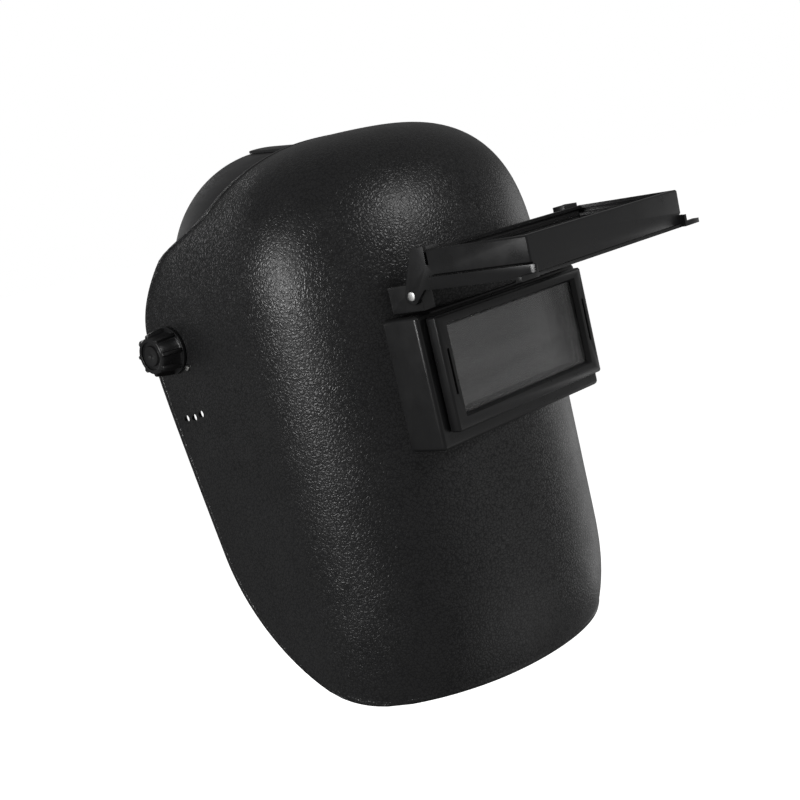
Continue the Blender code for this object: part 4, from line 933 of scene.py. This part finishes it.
def make_rear_strap(word, side):
    edges, rack = [], []
    for x, y, turn in rear_line():
        squeeze = share((x - TAIL_START_X) / TAIL_BLEND)
        half = REAR_HEIGHT / 2 + (TAIL_HEIGHT - REAR_HEIGHT) / 2 * squeeze
        end_distance = abs(y - REAR_START_Y) + BAND_END_FLAT if x < REAR_TIP_X else 1.0
        half = tip(end_distance, REAR_TIP_RADIUS, half)
        middle = BAND_Z - REAR_DROP * ease(turn) - side * TAIL_OFFSET * squeeze
        edges.append(((-side * x, y, middle - half), (-side * x, y, middle + half)))
        if squeeze == 1.0:
            rack.append((-side * x, y, middle + side * half))
    strap = link(f"rear_strap_{word}", strip("rear", edges, REAR_THICKNESS), "strap")
    body = frame["nodes"][f"rear_band_{word}"]["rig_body"]
    finish(strap, body, "strap", [f"rear_band_{word}"])
    tooth = soft_box(-TOOTH_HALF, TOOTH_HALF, 0.0002, 2)
    teeth = repeated(f"rack_teeth_{word}", rack, tooth, RACK_TEETH, (0.0, 0.0, 1.0), "strap")
    return finish(teeth, body, "strap")


for side_word, side_sign in SIDES.items():
    make_rear_strap(side_word, side_sign)

# %% [markdown]
# ## Crown strap
# Two half straps are riveted to the headband, arch over the head and overlap at the top, where a
# row of holes in each lines up for the size that is set. The route is a short upright, then
# half an ellipse. The holes are cut with round pegs that the repeating tree stands along the route.

# %% Crown strap route
STRAP_THICKNESS, STRAP_FRONT_Y, STRAP_BACK_Y = 0.0014, -0.0080, 0.0220
STRAP_TOP_Z, STRAP_HALF_SPAN, STRAP_SPRING_Z = 0.0924, 0.0820, 0.0280
STRAP_FRONT_DIP, STRAP_FOOT_Z, STRAP_FOOT_BACK_Y = 0.0038, -0.0020, 0.0040
STRAP_UPPER_END_X, STRAP_LOWER_END_X = -0.012, 0.034
STRAP_FOOT_WIDEN, STRAP_NARROW_Z, STRAP_NARROW_LENGTH = 0.003, 0.045, 0.020
STRAP_TIP_RADIUS, END_FLAT = 0.0015, 0.0002
PEG_RADIUS, PEG_LENGTH, STUD_HOLE_RADIUS = 0.0021, 0.010, 0.0031
STUD_Z = 0.0045
PLATE_INNER_X = 0.0785


def strap_line(top_z, half_span, foot_x, steps=110):
    """The arch over the head as (x, z) points, from the right foot to the left foot."""
    right = [(-foot_x, STRAP_FOOT_Z), (-foot_x, 0.004), (-foot_x, 0.010),
             (-foot_x - 0.0005, 0.0145),
             (-(foot_x * 0.4 + half_span * 0.6), STRAP_SPRING_Z * 0.70)]
    arch = [(-half_span * math.cos(math.pi * i / steps),
             STRAP_SPRING_Z + (top_z - STRAP_SPRING_Z) * math.sin(math.pi * i / steps))
            for i in range(steps + 1)]
    line = right + arch + [(-x, z) for x, z in reversed(right)]
    return walked(line, np.linspace(0.0, line_length(line), 150))


def strap_edges(line, free_end):
    """The strap's two borders; free_end is the line's point whose corners are rounded."""
    edges = []
    for x, z in line:
        lift = share((z - STRAP_SPRING_Z) / (STRAP_TOP_Z - STRAP_SPRING_Z))
        narrow = ease(share((STRAP_NARROW_Z - z) / STRAP_NARROW_LENGTH))
        back = STRAP_BACK_Y + (STRAP_FOOT_BACK_Y - STRAP_BACK_Y) * narrow
        front = STRAP_FRONT_Y - STRAP_FOOT_WIDEN * narrow
        half = (back - front) / 2
        shrink = tip(math.dist((x, z), free_end) + END_FLAT, STRAP_TIP_RADIUS, half) / half
        middle = (front + back) / 2
        tilt = STRAP_FRONT_DIP * lift
        edges.append(((x, middle - half * shrink, z - tilt * (0.5 + 0.5 * shrink)),
                      (x, middle + half * shrink, z - tilt * (0.5 - 0.5 * shrink))))
    return edges


# %% Crown strap halves and their holes
def make_crown_strap(word, line, free_end, hole_x, hole_count):
    name = f"crown_strap_{word}"
    body = strip("strap", strap_edges(line, free_end), STRAP_THICKNESS, 0.0004)
    strap = link(f"head_strap_{word}", body, "strap")
    stud_y = (STRAP_FRONT_Y - STRAP_FOOT_WIDEN + STRAP_FOOT_BACK_Y) / 2
    hole = rod(SIDES[word], PLATE_INNER_X - 0.0085, PLATE_INNER_X + 0.0115, STUD_HOLE_RADIUS,
               stud_y, STUD_Z)
    cutter = link("stud_hole", joined("stud_hole", [hole]))
    middle_y = (STRAP_FRONT_Y + STRAP_BACK_Y) / 2
    route = [(x, middle_y, z) for x, z in line if hole_x[0] <= x <= hole_x[1]]
    peg = bmesh.new()
    bmesh.ops.create_cone(peg, cap_ends=True, segments=20, radius1=PEG_RADIUS, radius2=PEG_RADIUS,
                          depth=PEG_LENGTH, matrix=Matrix.Rotation(math.pi / 2, 4, "X"))
    pegs = repeated("peg_holes", route, peg, hole_count, (0.0, 1.0, 0.0), "strap")
    boolean(strap, cutter, "DIFFERENCE")
    boolean(strap, pegs, "DIFFERENCE")
    baked(strap)
    discard(cutter, pegs)
    return finish(strap, "headgear", "strap", [name])


foot_x = PLATE_INNER_X + STRAP_THICKNESS / 2
strap_step = STRAP_THICKNESS + GAP
upper_line = strap_line(STRAP_TOP_Z - STRAP_THICKNESS / 2, STRAP_HALF_SPAN, foot_x)
lower_line = strap_line(STRAP_TOP_Z - STRAP_THICKNESS / 2 - strap_step,
                        STRAP_HALF_SPAN - strap_step, foot_x)
upper_line = [p for p in upper_line if p[0] > STRAP_UPPER_END_X]
lower_line = [p for p in lower_line if p[0] < STRAP_LOWER_END_X]
make_crown_strap("left", upper_line, upper_line[0], (0.0, 0.062), 8)
make_crown_strap("right", lower_line, lower_line[-1], (0.0, 0.027), 4)

# %% [markdown]
# ## Sweatband
# The sweatband is foam in a terry sleeve, sewn through every few centimetres. It starts as a thin
# closed strip that is pinched at the seams. A short cloth simulation with a little pressure, and
# with the seams pinned, puffs the cells between them. The move is capped so that the pad stays
# clear of the headband, one subdivision smooths it, and the stitches are laid on the result.

# %% Sweatband before it is puffed
PAD_THICKNESS, PAD_HEIGHT, PAD_SPREAD = 0.0050, 0.0340, math.radians(60)
PAD_START, PAD_CAP = 0.74, 0.0007
PAD_STATIONS, PAD_AROUND, PAD_CELLS = 108, 28, 6
PAD_SEAM_PINCH, PAD_SIDE_FULLNESS, PAD_TOP_FULLNESS = 0.55, 0.55, 0.62
PUFF_PRESSURE, PUFF_STEPS = 4.0, 20
STITCH_HALF, STITCH_WOBBLE = Vector((0.0013, 0.00028, 0.00028)), 0.10


def pad_ring(angle, pinch):
    """One cross-section of the pad, a tall superellipse that faces the head."""
    inset = BAND_THICKNESS / 2 + 2 * GAP + PAD_THICKNESS / 2
    width, front = BAND_HALF_WIDTH - inset, BAND_FRONT_Y + inset
    centre = Vector((-width * math.cos(angle),
                     BAND_ARC_Y + (front - BAND_ARC_Y) * math.sin(angle), BAND_Z))
    ahead = Vector((width * math.sin(angle), (front - BAND_ARC_Y) * math.cos(angle), 0.0))
    ahead.normalize()
    out = ahead.cross(Vector((0, 0, 1)))
    ring = []
    for i in range(PAD_AROUND):
        turn = math.tau * i / PAD_AROUND
        c, s = math.cos(turn), math.sin(turn)
        up = math.copysign(abs(s) ** PAD_TOP_FULLNESS, s) * PAD_HEIGHT / 2 * 0.975
        thick = math.copysign(abs(c) ** PAD_SIDE_FULLNESS, c) * PAD_THICKNESS / 2
        thick *= PAD_START * pinch
        ring.append(tuple(centre + out * thick + Vector((0, 0, up))))
    return ring


def pad_blank():
    rings, seam_rows = [], []
    for i in range(PAD_STATIONS + 1):
        angle = math.pi / 2 - PAD_SPREAD + 2 * PAD_SPREAD * i / PAD_STATIONS
        cell = PAD_CELLS * i / PAD_STATIONS
        seam = abs(cell - round(cell)) < 0.5 / PAD_STATIONS * PAD_CELLS
        pinch = PAD_SEAM_PINCH if seam else 1.0
        if seam:
            seam_rows.append(i)
        rings.append(pad_ring(angle, pinch))
    return rings, seam_rows


# %% Puff the sweatband and sew it
def make_sweatband():
    rings, seam_rows = pad_blank()
    pad = link("brow_sweatband", loft("pad", rings), "pad")
    start = np.array([v.co for v in pad.data.vertices])
    order = {tuple(round(c, 6) for c in v.co): v.index for v in pad.data.vertices}
    index = [[order[tuple(round(c, 6) for c in Vector(p))] for p in ring] for ring in rings]
    pins = pad.vertex_groups.new(name="seams")
    pins.add([v for row in seam_rows for v in index[row]], 1.0, "REPLACE")
    cloth = pad.modifiers.new("puff", "CLOTH")
    cloth.settings.use_pressure = True
    cloth.settings.uniform_pressure_force = PUFF_PRESSURE
    cloth.settings.effector_weights.gravity = 0.0
    cloth.settings.vertex_group_mass = "seams"
    cloth.point_cache.frame_start, cloth.point_cache.frame_end = 1, PUFF_STEPS
    for step in range(1, PUFF_STEPS + 1):
        bpy.context.scene.frame_set(step)
    baked(pad)
    bpy.context.scene.frame_set(1)
    moved = np.array([v.co for v in pad.data.vertices]) - start
    size = np.linalg.norm(moved, axis=1, keepdims=True)
    print("largest puff before the cap:", round(float(size.max()) * 1000, 2), "mm")
    placed = start + moved * np.minimum(1.0, PAD_CAP / np.maximum(size, 1e-9))
    for vert, place in zip(pad.data.vertices, placed):
        vert.co = place
    uv = pad.data.uv_layers.new(name="cloth")
    row_of = {v: i for i, row in enumerate(index) for v in row}
    arc = 2 * PAD_SPREAD * BAND_HALF_WIDTH / PAD_STATIONS
    for loop in pad.data.loops:
        vert = pad.data.vertices[loop.vertex_index]
        side_shift = 0.1 if pad.data.vertices[loop.vertex_index].normal.z > 0.9 else 0.0
        uv.data[loop.index].uv = (row_of[loop.vertex_index] * arc, vert.co.z + side_shift)
    smooth = pad.modifiers.new("smooth", "SUBSURF")
    smooth.levels = smooth.render_levels = 1
    baked(pad)
    finish(pad, "headgear", "pad", ["sweatband"], 60)
    return placed, index, seam_rows


def make_stitches(placed, index, seam_rows):
    thread = soft_box(-STITCH_HALF, STITCH_HALF, 0.00024, 2)
    inner = PAD_AROUND // 2
    for label, offset in (("upper", -4), ("lower", 4)):
        route = [placed[row[(inner + offset) % PAD_AROUND]] for row in index[2:-2]]
        made = repeated(f"stitches_{label}", route, thread.copy(), 46, (0.0, 0.0, 1.0), "strap",
                        STITCH_WOBBLE, 11)
        finish(made, "headgear", "strap")
    for number, row in enumerate(seam_rows[1:-1]):
        route = [placed[index[row][(inner + k) % PAD_AROUND]] for k in range(-4, 5)]
        made = repeated(f"stitches_seam_{number}", route, thread.copy(), 8, (0.0, 1.0, 0.0),
                        "strap", STITCH_WOBBLE, 23)
        finish(made, "headgear", "strap")
    thread.free()


make_stitches(*make_sweatband())

# %% [markdown]
# ## Ratchet knob
# The nape knob is a turned cup with a dished face. Its grip is a ring of fine ridges: the repeating
# tree stands them along a circle, so their number and size stay inputs and not geometry.

# %% Ratchet knob and its ridges
RATCHET_Z = BAND_Z - REAR_DROP
KNOB_LOW_Y = 0.1038
NAPE_RIDGES, RIDGE_CIRCLE, RIDGE_OUT = 40, 0.0170, 0.0068
RIDGE_HALF = Vector((0.00055, 0.0006, 0.0040))
NAPE_ROWS = [(0.0073, 0.0, 0), (0.0073, 0.0033, 0), (0.0002, 0.0033, 0), (0.0, 0.0036, 0),
             (0.0, 0.0172, 0), (0.0002, 0.0176, 0), (0.0008, 0.0178, 0), (0.0018, 0.0178, 0),
             (0.0022, 0.0175, 0), (0.0100, 0.0160, 0), (0.0118, 0.0157, 0), (0.0126, 0.0153, 0),
             (0.0130, 0.0146, 0), (0.0130, 0.0128, 0), (0.0127, 0.0123, 0), (0.0114, 0.0105, 0),
             (0.0109, 0.0080, 0), (0.0108, 0.0045, 0), (0.0110, 0.0040, 0), (0.0122, 0.0038, 0),
             (0.0126, 0.0034, 0), (0.0126, 0.0, 0)]


def make_ratchet_knob():
    def place(out, across, up):
        return (across, KNOB_LOW_Y + out, RATCHET_Z + up)

    knob = link("nape_knob", turned("nape_knob", NAPE_ROWS, place, 120), "satin")
    finish(knob, "ratchet_drive", "satin", ["ratchet_knob"], 38)
    circle = [place(RIDGE_OUT, RIDGE_CIRCLE * math.cos(a), RIDGE_CIRCLE * math.sin(a))
              for a in np.linspace(0.0, math.tau, 120, endpoint=False)]
    ridge = soft_box(-RIDGE_HALF, RIDGE_HALF, 0.0004, 2)
    ridges = repeated("nape_knob_ridges", circle, ridge, NAPE_RIDGES, (0.0, 1.0, 0.0), "satin",
                      closed=True)
    finish(ridges, "ratchet_drive", "satin")


make_ratchet_knob()

# %% [markdown]
# ## Studio
# Two soft boxes stand to the left and in front of the helmet, one on each side of the camera.
# Black plastic shows little but what it mirrors, so the boxes' places decide where the highlights
# run. Weak cards to the right, low in front and behind lift the window, the chin and the headgear.
# The room is otherwise dim, and only the camera sees the pale backdrop and the pale floor.

# %% Floor and room
WHITE = (1.0, 1.0, 1.0, 1.0)


def stage_floor():
    shape = bmesh.new()
    bmesh.ops.create_circle(shape, cap_ends=True, segments=96, radius=30.0)
    bmesh.ops.translate(shape, vec=(0.0, 0.0, -0.50), verts=shape.verts)
    floor = link("studio_floor", from_bmesh("studio_floor", shape, clean=False))
    material, tree, shader = plastic("pale_floor", (0.82, 0.82, 0.81), 0.8)
    feed(tree, shader, Emission_Color=WHITE, Emission_Strength=0.9)
    floor.data.materials.append(material)
    floor.visible_glossy = floor.visible_diffuse = floor.visible_transmission = False


def room(strength):
    world = bpy.data.worlds.new("pale_room")
    bpy.context.scene.world = world
    world.use_nodes = True
    tree = world.node_tree
    dim = feed(tree, tree.nodes["Background"], Color=WHITE, Strength=strength)
    pale = node(tree, "ShaderNodeBackground", Color=WHITE, Strength=1.0)
    mix = node(tree, "ShaderNodeMixShader")
    tree.links.new(node(tree, "ShaderNodeLightPath").outputs["Is Camera Ray"], mix.inputs[0])
    tree.links.new(dim.outputs[0], mix.inputs[1])
    tree.links.new(pale.outputs[0], mix.inputs[2])
    tree.links.new(mix.outputs[0], tree.nodes["World Output"].inputs["Surface"])


def soft_light(name, place, size, power, aim=(0.0, -0.05, -0.04)):
    light = bpy.data.lights.new(name, "AREA")
    light.shape = "RECTANGLE"
    light.size, light.size_y = size
    light.energy = power
    lamp = bpy.data.objects.new(name, light)
    bpy.context.scene.collection.objects.link(lamp)
    lamp.location = place
    lamp.rotation_euler = (Vector(aim) - Vector(place)).to_track_quat("-Z", "Y").to_euler()


stage_floor()
room(0.165)
soft_light("left_softbox", (-1.30, 0.02, 0.22), (0.28, 0.42), 7.6)
soft_light("front_softbox", (0.10, -1.10, 0.62), (0.42, 0.34), 4.2)
soft_light("rear_fill", (1.15, -0.10, -0.22), (0.80, 0.90), 1.6)
soft_light("window_card", (0.55, -1.25, -0.25), (1.50, 0.90), 0.65)
soft_light("rear_card", (0.20, 1.40, 0.35), (0.90, 0.70), 7.0)
soft_light("low_card", (0.35, -1.05, -0.85), (1.00, 0.70), 1.1)

# %% [markdown]
# ## Camera
# The camera looks at the wearer's right front, a little from above, and is rolled a little, as for
# a catalogue picture of a helmet that hangs tilted.

# %% Camera
def make_camera():
    data = bpy.data.cameras.new("catalogue_camera")
    data.lens, data.sensor_width = 64.05, 36.0
    camera = bpy.data.objects.new("catalogue_camera", data)
    bpy.context.scene.collection.objects.link(camera)
    right = Vector((0.6665, -0.7107, -0.2250)).normalized()
    up = Vector((0.2646, -0.0567, 0.9627))
    back = right.cross(up).normalized()
    up = back.cross(right)
    turn = Matrix((right, up, back)).transposed().to_4x4()
    camera.matrix_world = Matrix.Translation((-0.5355, -0.5771, 0.0591)) @ turn
    bpy.context.scene.camera = camera


make_camera()
bpy.context.scene.view_settings.view_transform = "Standard"

# %% Triangle count of the finished model
print("triangles:", sum(TRIANGLES.values()))
